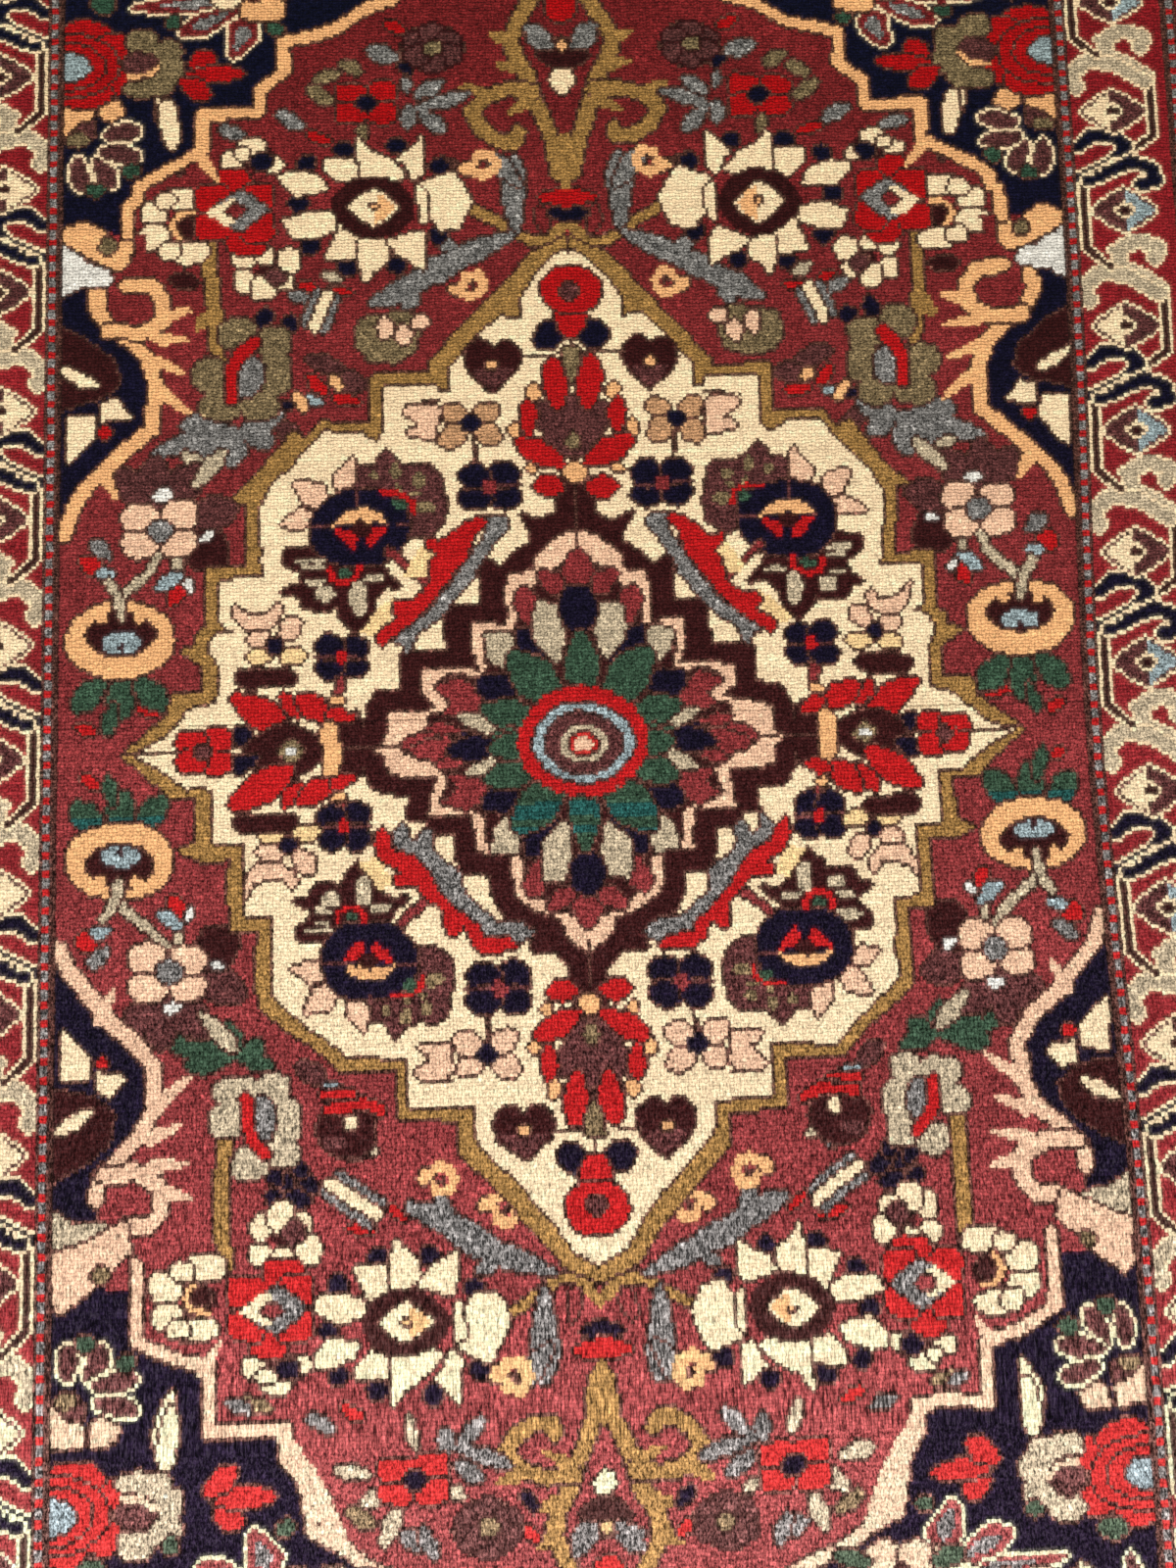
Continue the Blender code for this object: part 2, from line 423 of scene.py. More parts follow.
def heart_flower(pen):
    """A dark heart, notched above and paler below, with a light dot."""
    pen.patch(AUBERGINE, [(0, 7), (4, 11), (10, 11), (15, 7), (16, 0), (13, -7), (6, -13),
                          (1, -18), (-1, -18), (-7, -13), (-13, -7), (-16, 0), (-15, 7),
                          (-10, 11), (-4, 11)])
    pen.patch(BROWN, [(12, -5), (6, -12), (0, -17), (-7, -12), (-12, -5), (-4, -3), (4, -3)],
              None)
    pen.oval(PEACH, 0, -2, 3.2, 2.4)


def fan_flower(pen, yarn):
    """Four loose petals round a dark eye, with a stepped fan on the outer side."""
    for x, y in ((-10, 8), (10, 8), (11, -8), (-10, -8)):
        pen.petal(yarn, x * 0.2, y * 0.2, x * 1.55, y * 1.3, 13, widest=0.5)
    pen.patch(PINK, [(17, 9), (21, 13), (35, 13), (39, 9), (31, 4), (28, 0), (34, -1),
                     (36, -6), (19, -7), (19, 0)])
    pen.stroke(UMBER, [(38, 15), (18, 15)], 1.6, None)
    pen.oval(NAVY, 0, 0, 6, 5.5, None)


def crescent_flower(pen):
    """A small light flower under a broad crescent."""
    pen.patch(PINK, [(22, 27), (18, 20), (10, 17), (3, 18), (-2, 24), (-4, 20), (-2, 14),
                     (7, 8), (16, 10), (22, 18)])
    pen.petal(PINK, -3, 3, -13, 14, 11)
    for x, y in ((9, 4), (9, -6), (-10, -6)):
        pen.oval(PINK if y > 0 else CREAM, x, y, 7, 4)
    pen.oval(NAVY, 0, 0, 4, 4.5)


def leafy_rosette(pen):
    """The large navy flower, wrapped in dark leaves with light hearts."""
    pen.patch(BROWN, [(6, 22), (1, 34), (-8, 35), (-15, 45), (-22, 37), (-30, 34), (-39, 35),
                      (-44, 31), (-46, 22), (-48, 11), (-45, 0), (-37, -6), (-20, -6)])
    for x, y, half_x, half_y in ((-9, 29, 3, 3), (-21, 32, 3, 5), (-22, 22, 2, 4),
                                 (-33, 27, 3.5, 4), (-36, 12, 6.5, 3.5), (-31, 20, 3, 1.5)):
        pen.oval(OLIVE, x, y, half_x, half_y, None)
    pen.patch(AUBERGINE, [(20, -10), (40, -11), (40, -19), (31, -24), (34, -30), (43, -35),
                          (34, -37), (33, -43), (25, -45), (13, -43), (13, -49), (5, -56),
                          (-4, -48), (-7, -39), (-14, -33), (-24, -35), (-16, -27),
                          (-10, -20), (8, -16)])
    for x, y, half_x, half_y in ((28, -17, 8, 1.6), (26, -20, 6, 1.2), (26, -29, 5, 1.6),
                                 (-7, -29, 6, 1.8), (21, -36, 5.5, 4), (2, -39, 4.4, 8.5)):
        pen.oval(KHAKI, x, y, half_x, half_y, None, power=3.0)
    for x0, y0, x1, y1, width in (
            (12, 16, 4, 41, 13), (18, 13, 37, 28, 15), (22, 9, 45, 3, 11)):
        pen.petal(PINK, x0, y0, x1, y1, width, widest=0.45, fullness=0.8)
    pen.oval(NAVY, 0, 0, 27, 21.5, power=2.3)
    pen.stroke(BROWN, [(1, 12), (1, 22)], 1.4, None)
    for side in (-1, 1):
        pen.stroke(BROWN, [(side * 14, 2), (side * 27, 2)], 1.4, None)
        pen.patch(SCARLET, [(side * 15, 1), (side * 5, 0), (side * 2, -4), (side * 4, -12),
                            (side * 11, -6)], None)
    pen.patch(PEACH, [(15, 2), (11, 8), (5, 11), (-5, 11), (-11, 8), (-15, 2), (-8, 4),
                      (-4, 3), (0, 6), (4, 3), (8, 4)], None)
    pen.oval(AUBERGINE, 0, 0, 6, 4.5, None)
    pen.stroke(SCARLET, [(-13, 20), (-22, 20), (-29, 16), (-30, 9)], 3.0, None)
    pen.oval(GREEN, -23, 14, 4, 3.6, None)
    pen.stroke(SCARLET, [(18, -22), (17, -28), (10, -31), (3, -28), (2, -22)], 3.2, None)
    pen.oval(GREEN, 10, -25, 3.6, 3, None)


def scarlet_palmette(pen):
    """The tall flower above and below the brown band."""
    pen.patch(BROWN, [(-8, 44), (8, 44), (9, 40), (20, 39), (21, 28), (14, 19), (7, 10),
                      (-7, 10), (-14, 19), (-20, 28), (-19, 39), (-9, 40)])
    for side in (-1, 1):
        pen.petal(SCARLET, side * 8, 36, side * 11, 66, 14, widest=0.6, fullness=0.4)
        pen.petal(SCARLET, side * 25, 21, side * 25, 42, 10)
        pen.petal(SCARLET, side * 6, 4, side * 33, 19, 14, widest=0.55)
        pen.petal(SCARLET, side * 6, -8, side * 24, -8, 13, widest=0.5)
        pen.oval(PEACH, side * 33, 24, 3, 4)
        pen.oval(PEACH, side * 24, 2, 3, 2.5)
        pen.oval(PEACH, side * 22, 46, 3.5, 4.5)
    pen.patch(OLIVE, [(-5, 71), (5, 71), (4, 60), (1, 52), (-1, 52), (-4, 60)])
    pen.oval(OLIVE, 0, 17, 4.5, 5)
    pen.oval(PEACH, 0, 0, 6.5, 5.5)


def tip_flower(pen):
    """The scarlet flower in each point of the medallion."""
    for side in (-1, 1):
        pen.petal(NAVY, side * 1, -20, side * 20, -29, 16, widest=0.6, fullness=0.4)
    pen.petal(SCARLET, 0, -8, 0, -27, 17, widest=0.3, fullness=0.35)
    pen.oval(SCARLET, 0, 1, 16.5, 13.5, power=2.3)
    pen.oval(BROWN, 0, 0, 5, 5)


def side_palmette(chart):
    """Scarlet leaves and a brown body lying out to each side of the medallion."""
    for up in (1, -1):
        pen = Pen(chart, up=up)
        pen.oval(AUBERGINE, 162, 0, 21, 14, power=1.6)
        pen.petal(SCARLET, 158, 9, 190, 31, 17, widest=0.5)
        pen.petal(SCARLET, 153, 17, 164, 31, 9)
        pen.petal(SCARLET, 136, 15, 156, 30, 14, widest=0.5)
        pen.petal(SCARLET, 124, 16, 138, 19, 9)
        pen.oval(AUBERGINE, 172, 40, 16, 4.5, power=4)
        pen.petal(NAVY, 176, 4, 191, 10, 10)
    pen = Pen(chart)
    pen.oval(PEACH, 137, 0, 4.5, 14, power=4)
    pen.oval(OLIVE, 158, 0, 7, 6, power=1.3)
    pen.oval(SILVER, 158, 0, 3.5, 2.4, None)
    for x, y in ((198, 6), (211, 5), (198, -6), (211, -5)):
        pen.oval(SCARLET, x, y, 8, 6, power=3)
    pen.oval(SCARLET, 205, 0, 8, 5, None)
    pen.oval(BROWN, 205, 0, 4, 3.5)


def ivory_ground_flowers(chart):
    """Everything that grows between the brown band and the gold band."""
    for up, tip, palmette, heart, fan, bud, rosette, star, crescent in (
            (1, 256, 152, (44, 217), (57, 180), (48, 145), (119.5, 122), (131, 51), (167, 58)),
            (-1, -246, -141, (38, -203), (56, -165), (49, -131), (118, -114), (131, -43),
             (161, -52))):
        stem = Pen(chart)
        stem.stroke(UMBER, [fan, (bud[0] + 6, bud[1])], 3, None)
        stem.stroke(UMBER, [(0, heart[1] + up * 3), (heart[0], heart[1] + up * 3)], 1.8, None)
        stem.stroke(MADDER, [(star[0] + 1, star[1] - up * 10), (star[0] + 1, up * 30)], 4)
        stem.oval(PEACH, star[0] + 2, up * 26, 3.4, 2.6)
        tip_flower(Pen(chart, 0, tip, up))
        scarlet_palmette(Pen(chart, 0, palmette, up, 1.0 if up > 0 else 0.96))
        heart_flower(Pen(chart, *heart))
        fan_flower(Pen(chart, *fan, up), TAN if up > 0 else PINK)
        round_flower(Pen(chart, *bud, up), NAVY, MADDER)
        leafy_rosette(Pen(chart, *rosette, up, 1.0 if up > 0 else 0.94))
        round_flower(Pen(chart, *star, up), NAVY, SCARLET, 14, 12)
        crescent_flower(Pen(chart, *crescent, up))
    side_palmette(chart)


def medallion(chart):
    """The stepped medallion with all that it holds."""
    stepped_band(chart, GOLD_EDGE, GOLD)
    stepped_band(chart, GROUND_EDGE, IVORY)
    stepped_band(chart, BROWN_EDGE, AUBERGINE)
    ivory_ground_flowers(chart)
    serrated_leaves(chart)
    stepped_band(chart, PEACH_EDGE, PINK)
    stepped_band(chart, INNER_EDGE, AUBERGINE)
    central_rosette(chart)


# ----------------------------------------------------------------- flowers of the red field

WHITE_PETALS = (
    ((9, -12), (18, -9), (27, -28), (10, -29), (8, -20)),
    ((8, -18), (-8, -20), (-7, -31), (1, -37), (5, -43), (8, -32)),
    ((-6, -20), (-22, -14), (-27, -15), (-28, -36), (-20, -31), (-12, -27)),
    ((-25, 14), (-35, 18), (-44, 21), (-48, 14), (-54, 2), (-48, -12), (-37, -14), (-30, -5)),
    ((-25, -10), (-29, -8), (-30, 8), (-25, 12)),
    ((26, 29), (10, 29), (8, 18), (18, 14), (25, 21)),
    ((8, 42), (1, 33), (-10, 27), (-18, 18), (-10, 13), (7, 18)),
    ((-27, 41), (-28, 20), (-22, 15), (-17, 26), (-13, 28), (-20, 34)),
    ((24, 9), (40, 7), (46, 12), (51, 20), (40, 22), (27, 17)),
    ((23, -3), (36, -2), (48, -7), (45, -16), (32, -16), (20, -11)),
)
WHITE_FLOWER_BUDS = ((15, 34), (-13, 36), (-37, 24), (-36, -16), (-13, -33), (14, -33),
                     (35, -20), (40, 3), (35, 26))


def white_flower(pen):
    """The large white flower with ragged petals and navy buds between them."""
    for x, y in WHITE_FLOWER_BUDS:
        pen.oval(NAVY, x, y, 5, 4.5)
    for corners_of_petal in WHITE_PETALS:
        pen.patch(IVORY, list(corners_of_petal))
    pen.oval(AUBERGINE, 0, 0, 23, 18.5, None, power=1.8)
    pen.oval(IVORY, 0, 0, 14, 11, power=1.15)
    pen.patch(PEACH, [(-1, 9), (-1, -9), (-8, -5), (-12, 0), (-8, 5)], None)
    pen.oval(UMBER, 0, 1, 3.4, 3, None)
    pen.oval(PEACH, 0, 1, 1.6, 1.4, None)


def scarlet_square_flower(pen):
    """A square scarlet flower with a lozenge in the middle, half grey and half ivory."""
    pen.oval(SCARLET, -6, -18, 10, 7, power=3)
    pen.oval(SCARLET, 1, 19, 9, 7, power=3)
    for x in (-1, 1):
        for y in (-1, 1):
            pen.oval(SCARLET, x * 12.5, y * 9, 8.5, 8, power=5)
    pen.oval(SCARLET, 0, 0, 12, 14, None, power=5)
    pen.oval(GREY, -2, 1, 16, 12, power=1.15)
    pen.patch(IVORY, [(0, 9), (4, 8), (17, 1), (6, -8), (0, -7)], None)
    pen.oval(MADDER, 0, 1, 5, 3.6, power=1.4)


SIDE_BLOOM = ((-2, 15, 10, 5), (-7, -14, 9, 5.5), (12, 8, 7, 5.5), (12, -5, 7.5, 6.5),
              (6, 14, 5, 4), (4, -12, 5, 4))
LOW_BLOOM = ((11, 8, 5, 4.5), (11, -4, 4.5, 5.5), (1, -8, 6, 6.5), (-11, 7, 5.5, 6),
             (-9, -4, 4.5, 4.5), (1, 10, 4.5, 4))
TOP_BLOOM = ((10, -1, 5.5, 4.5), (0, 6, 6.5, 4.5), (-10, -3, 6, 3.5), (5, 3, 4, 3))


def small_ivory_flower(pen, petals, eye=NAVY):
    """Separate ivory petals round one side of a small dark eye."""
    pen.oval(AUBERGINE, -4, 0, 9, 7, None)
    for x, y, half_x, half_y in petals:
        pen.oval(IVORY, x, y, half_x, half_y, power=3)
    pen.oval(eye, -5, -1, 5, 4.5)
    if eye == AUBERGINE:
        pen.stroke(PEACH, [(-8, 7), (-1, 6), (3, 0), (-1, -6)], 2.5, None)


def scarlet_four_petal(pen):
    """Four flat scarlet petals about a navy eye."""
    for x, y in ((-9, 6), (9.5, 6), (-9, -6), (9.5, -6)):
        pen.oval(SCARLET, x, y, 8.5, 5.6, power=4)
    pen.oval(SCARLET, 0, -5, 4, 4, None, power=4)
    pen.oval(NAVY, 0, 0, 5.5, 4.5)


def dark_rosette(pen, eye):
    """A dark many-petalled rosette with a light eye."""
    pen.oval(UMBER, 0, 0, 19, 15, None)
    for share in range(6):
        angle = math.pi * (share + 0.5) / 3
        pen.oval(BROWN, 10.5 * math.cos(angle), 8.5 * math.sin(angle), 6.6, 5.6, AUBERGINE,
                 power=2.6)
    pen.oval(eye, 0, 0, 5, 4.4, AUBERGINE)


def plum_flower(pen):
    """A dark flower, notched above, under two scarlet bars."""
    pen.patch(AUBERGINE, [(0, 8), (5, 12), (13, 10), (15, 2), (12, -8), (4, -13), (-5, -13),
                          (-13, -8), (-15, 2), (-12, 10), (-5, 12)])
    pen.oval(BROWN, 6, -5, 6, 4, None)
    pen.stroke(SCARLET, [(-18, 11), (-9, 15), (9, 13)], 5)
    pen.stroke(SCARLET, [(-4, 21), (12, 20)], 3.5)
    pen.oval(IVORY, -2, 6, 3, 3.5)


def peach_curl(pen, side=1):
    """A small peach leaf rolled in on itself."""
    pen.petal(PEACH, side * 3, -5, side * 12, 0, 8)
    pen.stroke(PEACH, [(side * x, y) for x, y in (
        (6, -4), (0, -7), (-6, -4), (-8, 2), (-4, 7), (2, 6), (3, 2))], 5.5, None)
    pen.stroke(UMBER, [(side * -2, -1), (side * -2, 3), (side * 1, 1)], 2.4, None)


def pink_rose(pen):
    """Four broad pink petals about a grey eye, with dark leaves behind."""
    pen.bunch(BROWN, ((2, 12, -24, 33, 18), (4, 12, 2, 40, 19), (6, 10, 22, 34, 17),
                      (-12, 2, -42, 12, 20)))
    pen.petal(AUBERGINE, -12, -4, -36, -20, 24)
    pen.petal(KHAKI, -18, 22, -36, 42, 9)
    pen.petal(SILVER, -22, -6, -30, -3, 5, None)
    for x, y in ((-10.5, 7.5), (10.5, 6.5), (-10, -7.5), (11, -8)):
        pen.oval(PINK, x, y, 9.5, 7.5, power=2.6)
    pen.oval(GREY, 0, 0, 6.5, 6)
    pen.oval(SILVER, -2, 18.5, 5, 3)


def peach_ring(pen):
    """A broad peach ring, open to its stem, with a blue kidney in its dark middle."""
    pen.oval(PEACH, 0, 0, 30, 20.5, power=2.2)
    pen.oval(AUBERGINE, 0, 3, 18.5, 10.5, power=2.1)
    pen.petal(AUBERGINE, 0, 8, 2, 24, 11, None, widest=0.3)
    pen.petal(PEACH, -14, 15, -7, 9, 7, None)
    pen.petal(PEACH, 14, 15, 8, 9, 7, None)
    pen.oval(SKY, 0, -2, 11, 5.2, AUBERGINE, power=2.4)
    pen.petal(AUBERGINE, 0, -9, 0, -2, 4, None)
    pen.stroke(KHAKI, [(0, 12), (1, 20), (4, 27), (8, 32)], 5)


def green_palmette(pen):
    """Three dark green leaves under the ring, and the long tip below them."""
    pen.petal(GREEN, 8, 10, 26, -7, 15)
    pen.petal(GREEN, -8, 10, -24, -9, 15)
    pen.petal(GREEN, 0, 12, 0, -14, 15, fullness=0.35)
    pen.petal(GREEN, 3, -4, 8, -22, 8)


def ring_stems(chart, up, rose, ring):
    """The khaki stems, buds and grey-blue leaves between a rose and its ring."""
    pen = Pen(chart, ring[0], ring[1], up)
    rise = abs(rose[1] - ring[1])
    pen.stroke(KHAKI, [(rose[0] - ring[0], rise - 12), (-16, 38), (-9, 32), (-3, 27), (1, 20)], 5)
    pen.stroke(KHAKI, [(-31, rise - 14), (-31, 37)], 4)
    pen.petal(SCARLET, -27, 19, -33, 30, 9)
    pen.petal(SCARLET, 10, 37, 22, 46, 11)
    pen.petal(SKY, -34, 37, -20, 28, 8)
    pen.petal(SKY, 4, 37, 15, 38, 7)
    pen.petal(GREY, 6, 47, 17, 57, 9)
    pen.petal(SILVER, -38, 26, -36, 33, 5)


def slash_palmette(pen, leaf, edge):
    """A ragged palmette with a scarlet slash across it and navy buds."""
    for x, y in ((-14, 20), (-27, 16), (-22, 4)):
        pen.petal(NAVY, x + 6, y - 8, x, y + 5, 9)
    leaves = ((3, 11, 10, 9), (-16, 6, 9, 8), (18, -12, 9, 9), (-18, -12, 8, 12),
              (12, -30, 12, 7), (-10, -30, 9, 8), (-17, -2, 6, 8), (14, -21, 6, 8))
    for line in (UMBER, None):
        for x, y, half_x, half_y in leaves:
            pen.oval(leaf, x, y, half_x, half_y, line, power=3)
    pen.oval(edge, -3, -13, 8, 12)
    pen.stroke(SCARLET, [(-6, 6), (2, -2), (6, -10), (6, -24)], 6.5)


def ragged_leaves(pen, yarn, tip):
    """A fan of ragged leaves at the foot of a palmette."""
    pen.bunch(yarn, ((0, 6, 46, -10, 12), (2, 4, 30, 8, 15), (0, 4, 24, -14, 14),
                     (0, 6, 2, -18, 16), (-4, 6, -20, -6, 13), (-2, 2, -26, 12, 12)))
    pen.petal(tip, 14, -20, 28, -9, 8)


def grey_vine(pen):
    """A long heathered leaf that runs up from the medallion's point."""
    pen.bunch(GREY, ((-30, 20, 10, 2, 12), (-12, 12, 32, -10, 15), (8, -2, 52, -21, 13),
                     (24, -10, 34, -26, 9), (0, 10, 12, 16, 8)))


GREY_TUFT = ((10, -2, -22, 8, 8), (8, 6, -8, 16, 9), (12, 2, 12, -12, 9), (6, -2, -8, -16, 9),
             (12, 8, 14, 18, 6))


def grey_tuft(pen):
    """A small bunch of grey leaves."""
    pen.bunch(GREY, GREY_TUFT)


def barred_leaf(pen, x1, y1):
    """An ivory bar between two strips of grey."""
    length = math.hypot(x1, y1)
    off_x, off_y = 6 * y1 / length, -6 * x1 / length
    for side in (-1, 1):
        pen.stroke(GREY, [(side * off_x, side * off_y),
                          (x1 + side * off_x, y1 + side * off_y)], 4)
    pen.stroke(IVORY, [(0, 0), (x1, y1)], 6)


def dabs(chart, rows):
    """Small leaves and petals that fill the gaps: yarn, centre, reach in x and y, width."""
    for yarn, x, y, reach_x, reach_y, width in rows:
        Pen(chart, x, y).petal(yarn, -reach_x, -reach_y, reach_x, reach_y, width,
                               widest=0.5, fullness=0.4)


FAR_DABS = (
    (SCARLET, 130, 259, 7, 1, 4), (SCARLET, 147, 263, 5, 2, 5), (SCARLET, 140, 351, 7, 3, 6),
    (BROWN, 124, 207, 9, 3, 13), (SCARLET, 127, 196, 8, 1, 6), (SCARLET, 143, 205, 4, 6, 7),
    (PEACH, 133, 206, 3, 4, 6), (SKY, 147, 196, 6, 1, 5), (PEACH, 153, 195, 3, 6, 7),
    (NAVY, 162, 193, 6, 0, 5), (BROWN, 138, 217, 10, 3, 10), (KHAKI, 134, 268, 5, 3, 6),
    (GREY, 152, 257, 7, 2, 7), (AUBERGINE, 215, 268, 8, 1, 9), (BROWN, 160, 178, 8, 6, 9),
    (OLIVE, 140, 376, 7, 5, 9), (OLIVE, 136, 388, 7, -3, 8), (OLIVE, 122, 394, 6, 4, 8),
    (OLIVE, 115, 355, 1, 6, 6), (GREY, 156, 361, 8, 4, 9), (GREY, 103, 401, 9, 3, 12),
    (BROWN, 168, 392, 7, 3, 8), (SCARLET, 96, 418, 6, 3, 6), (NAVY, 90, 392, 4, 3, 6),
    (BROWN, 222, 338, 5, 8, 9), (UMBER, 66, 335, 6, 2, 5), (GREY, 190, 355, 8, 3, 8),
    (OLIVE, 196, 372, 6, 3, 7), (SCARLET, 268, 14, 5, 3, 6), (SCARLET, 236, 22, 7, 2, 5),
)
NEAR_DABS = (
    (SCARLET, 106, -246, 5, 4, 5), (SCARLET, 125, -253, 8, 1, 5),
    (SKY, 138, -180, 6, 1, 4), (NAVY, 151, -229, 5, 4, 9), (NAVY, 165, -228, 6, 3, 9),
    (NAVY, 156, -238, 6, 2, 9), (NAVY, 169, -237, 4, 3, 8), (GREY, 128, -215, 6, 3, 7),
    (KHAKI, 120, -212, 6, 2, 6),
    (SCARLET, 130, -345, 6, 3, 6), (GREY, 146, -350, 7, 3, 8), (BROWN, 208, -300, 4, 8, 8),
    (BROWN, 150, -385, 8, 4, 9), (GREY, 96, -409, 9, 3, 10), (OLIVE, 126, -398, 7, 4, 8),
    (KHAKI, 130, -375, 10, 2, 8), (KHAKI, 118, -388, 8, -5, 8), (KHAKI, 110, -402, 4, -9, 9),
    (KHAKI, 76, -388, 4, 3, 6), (KHAKI, 99, -356, 2, 9, 6), (GREY, 91, -410, 3, 8, 8),
    (NAVY, 40, -392, 4, 5, 6), (SCARLET, 40, -408, 5, 4, 6), (OLIVE, 178, -340, 7, 3, 7),
    (BROWN, 150, -172, 7, 4, 10), (GREY, 186, -340, 6, 3, 6), (SCARLET, 266, -14, 5, 3, 6),
)


def pendant(chart, up, foot, cup):
    """The gold pendant beyond each point of the medallion, with its scrolls."""
    pen = Pen(chart, 0, foot, up)
    pen.stroke(GOLD, [(3, -12), (22, -12), (40, 0), (58, 9)], 5)
    pen.stroke(GOLD, [(0, 0), (7, -8)], 6, None)
    pen.petal(GREY, 30, -8, 30, 40, 15, widest=0.7)
    pen.petal(GREY, 26, 20, 46, 42, 12)
    pen.petal(MADDER, 16, 10, 13, -8, 7)
    pen.oval(NAVY, 0, cup - 9, 11, 5, power=1.4)
    pen.oval(SCARLET, 0, cup, 16, 5, power=1.5)
    peach_curl(Pen(chart, 48, foot + up * 34, up))


def scrolled_arms(pen):
    """Two gold arms that rise from a stem and close over a diamond, with a scroll each side."""
    pen.stroke(GOLD, [(3, -20), (6, 0), (12, 14), (17, 28), (20, 38), (27, 50), (29, 61),
                      (23, 75), (15, 88), (6, 98)], 8.5)
    pen.petal(GOLD, 26, 60, 42, 67, 9, None, widest=0.3)
    pen.petal(GOLD, 24, 44, 40, 47, 8, None, widest=0.3)
    pen.stroke(GOLD, [(17, 30), (32, 31), (46, 26), (54, 18), (48, 8), (38, 1), (29, 1),
                      (27, 6)], 8)
    pen.petal(GOLD, 42, 28, 60, 33, 7, None)
    pen.petal(GOLD, 16, 26, 34, 16, 8, None, widest=0.3)
    pen.petal(GOLD, 0, -30, 0, 6, 12, None)
    pen.oval(IVORY, 0, 35, 7, 8, power=1.3)
    pen.petal(AUBERGINE, 0, 42, 0, 62, 30, widest=0.4)
    pen.bunch(GREY, ((4, 56, 20, 62, 9), (6, 60, 20, 70, 10)))
    pen.oval(SCARLET, 0, 82, 8, 9, power=2.6)
    pen.oval(PEACH, 0, 57, 3.4, 3.4)


def field_flowers(chart):
    """All that grows on the red ground between the medallion and the corners."""
    pendant(chart, 1, 299, 14)
    pendant(chart, -1, -295, 24)
    scrolled_arms(Pen(chart, 0, 347, 1))
    scrolled_arms(Pen(chart, 0, -352, -1, 0.94))
    dabs(chart, FAR_DABS)
    dabs(chart, NEAR_DABS)
    grey_vine(Pen(chart, 60, 272, 1))
    grey_vine(Pen(chart, 52, -262, -1, 0.95))
    peach_curl(Pen(chart, 56, 261, 1))
    peach_curl(Pen(chart, 50, -247, -1))
    peach_curl(Pen(chart, 82, -230, -1))
    peach_curl(Pen(chart, 46, -329, -1))
    olive = Pen(chart, 102, 231)
    olive.patch(OLIVE, [(-14, -8), (-4, -14), (12, -12), (18, -2), (16, 12), (2, 14), (-10, 16),
                        (-18, 8)])
    for x, y, half_x, half_y in ((2, 6, 4, 7), (-8, 1, 4, 6), (-17, 9, 5, 4)):
        olive.oval(PINK, x, y, half_x, half_y)
    barred_leaf(Pen(chart, 144, 239), -7, 18)
    barred_leaf(Pen(chart, 139, -230), -22, -16)
    for tuft in ((76, 368, 1), (70, -366, -1)):
        grey_tuft(Pen(chart, *tuft))
    dark_rosette(Pen(chart, 74, 404), OLIVE)
    dark_rosette(Pen(chart, 61, -405), OLIVE)
    plum_flower(Pen(chart, 131, -204))
    gold_stem = Pen(chart)
    gold_stem.stroke(GOLD, [(200, 292), (200, 262), (198, 240), (196, 220)], 7)
    gold_stem.petal(GOLD, 200, 252, 209, 238, 8, None)
    gold_stem.stroke(GOLD, [(194, -270), (196, -245), (195, -206)], 7)
    ragged_leaves(Pen(chart, 188, 176, 1), GREY, KHAKI)
    ragged_leaves(Pen(chart, 190, -160, -1, 0.85), GREEN, KHAKI)
    slash_palmette(Pen(chart, 183, 224, 1), OLIVE, GREY)
    slash_palmette(Pen(chart, 178, -208, -1, 0.9), KHAKI, GREY)
    for up, rose, ring in ((1, (229, 125), (250, 63)), (-1, (224, -118), (250, -57))):
        ring_stems(chart, up, rose, ring)
        pink_rose(Pen(chart, *rose, up))
        green_palmette(Pen(chart, 250, up * 32, up))
        peach_ring(Pen(chart, *ring, up, 1.0 if up > 0 else 0.95))
    white_flower(Pen(chart, 110, 308, 1, 1.05))
    white_flower(Pen(chart, 101, -301, -1))
    scarlet_four_petal(Pen(chart, 113, 372, 1))
    scarlet_four_petal(Pen(chart, 98, -380, -1))
    for square, side_bloom, low_bloom, top_bloom, up in (
            ((187, 307), (219, 299), (171, 271), (178, 339), 1),
            ((171, -291), (211, -285), (164, -255), (168, -323), -1)):
        small_ivory_flower(Pen(chart, *side_bloom, up, 1.1), SIDE_BLOOM, AUBERGINE)
        small_ivory_flower(Pen(chart, *low_bloom, up, 1.1), LOW_BLOOM, BROWN)
        small_ivory_flower(Pen(chart, *top_bloom, up, 1.1), TOP_BLOOM)
        scarlet_square_flower(Pen(chart, *square, up))


# ----------------------------------------------------------------- the corners of the field

# The pale line round each corner, from the long side inwards, far half then near.
CORNER_LINE = (
    [(282, 122), (276, 140), (268, 151), (256, 163), (243, 173), (233, 182), (232, 206),
     (237, 221), (246, 232), (258, 240), (264, 250), (264, 264)],
    [(282, -103), (277, -116), (266, -129), (254, -143), (240, -155), (231, -166),
     (231, -188), (239, -202), (250, -212), (260, -222), (262, -234)],
)
UPPER_LINE = (
    [(248, 284), (248, 312), (243, 316), (243, 322), (228, 331), (206, 344), (206, 366),
     (174, 366), (174, 380), (160, 392), (160, 410), (146, 414), (130, 418), (112, 430),
     (96, 434), (96, 452), (80, 458), (80, 480), (64, 486), (64, 504)],
    [(240, -268), (240, -306), (232, -310), (220, -316), (202, -321), (202, -352),
     (164, -352), (164, -366), (156, -378), (150, -404), (138, -410), (122, -420),
     (104, -428), (92, -434), (92, -452), (78, -458), (78, -480), (64, -486), (64, -504)],
)


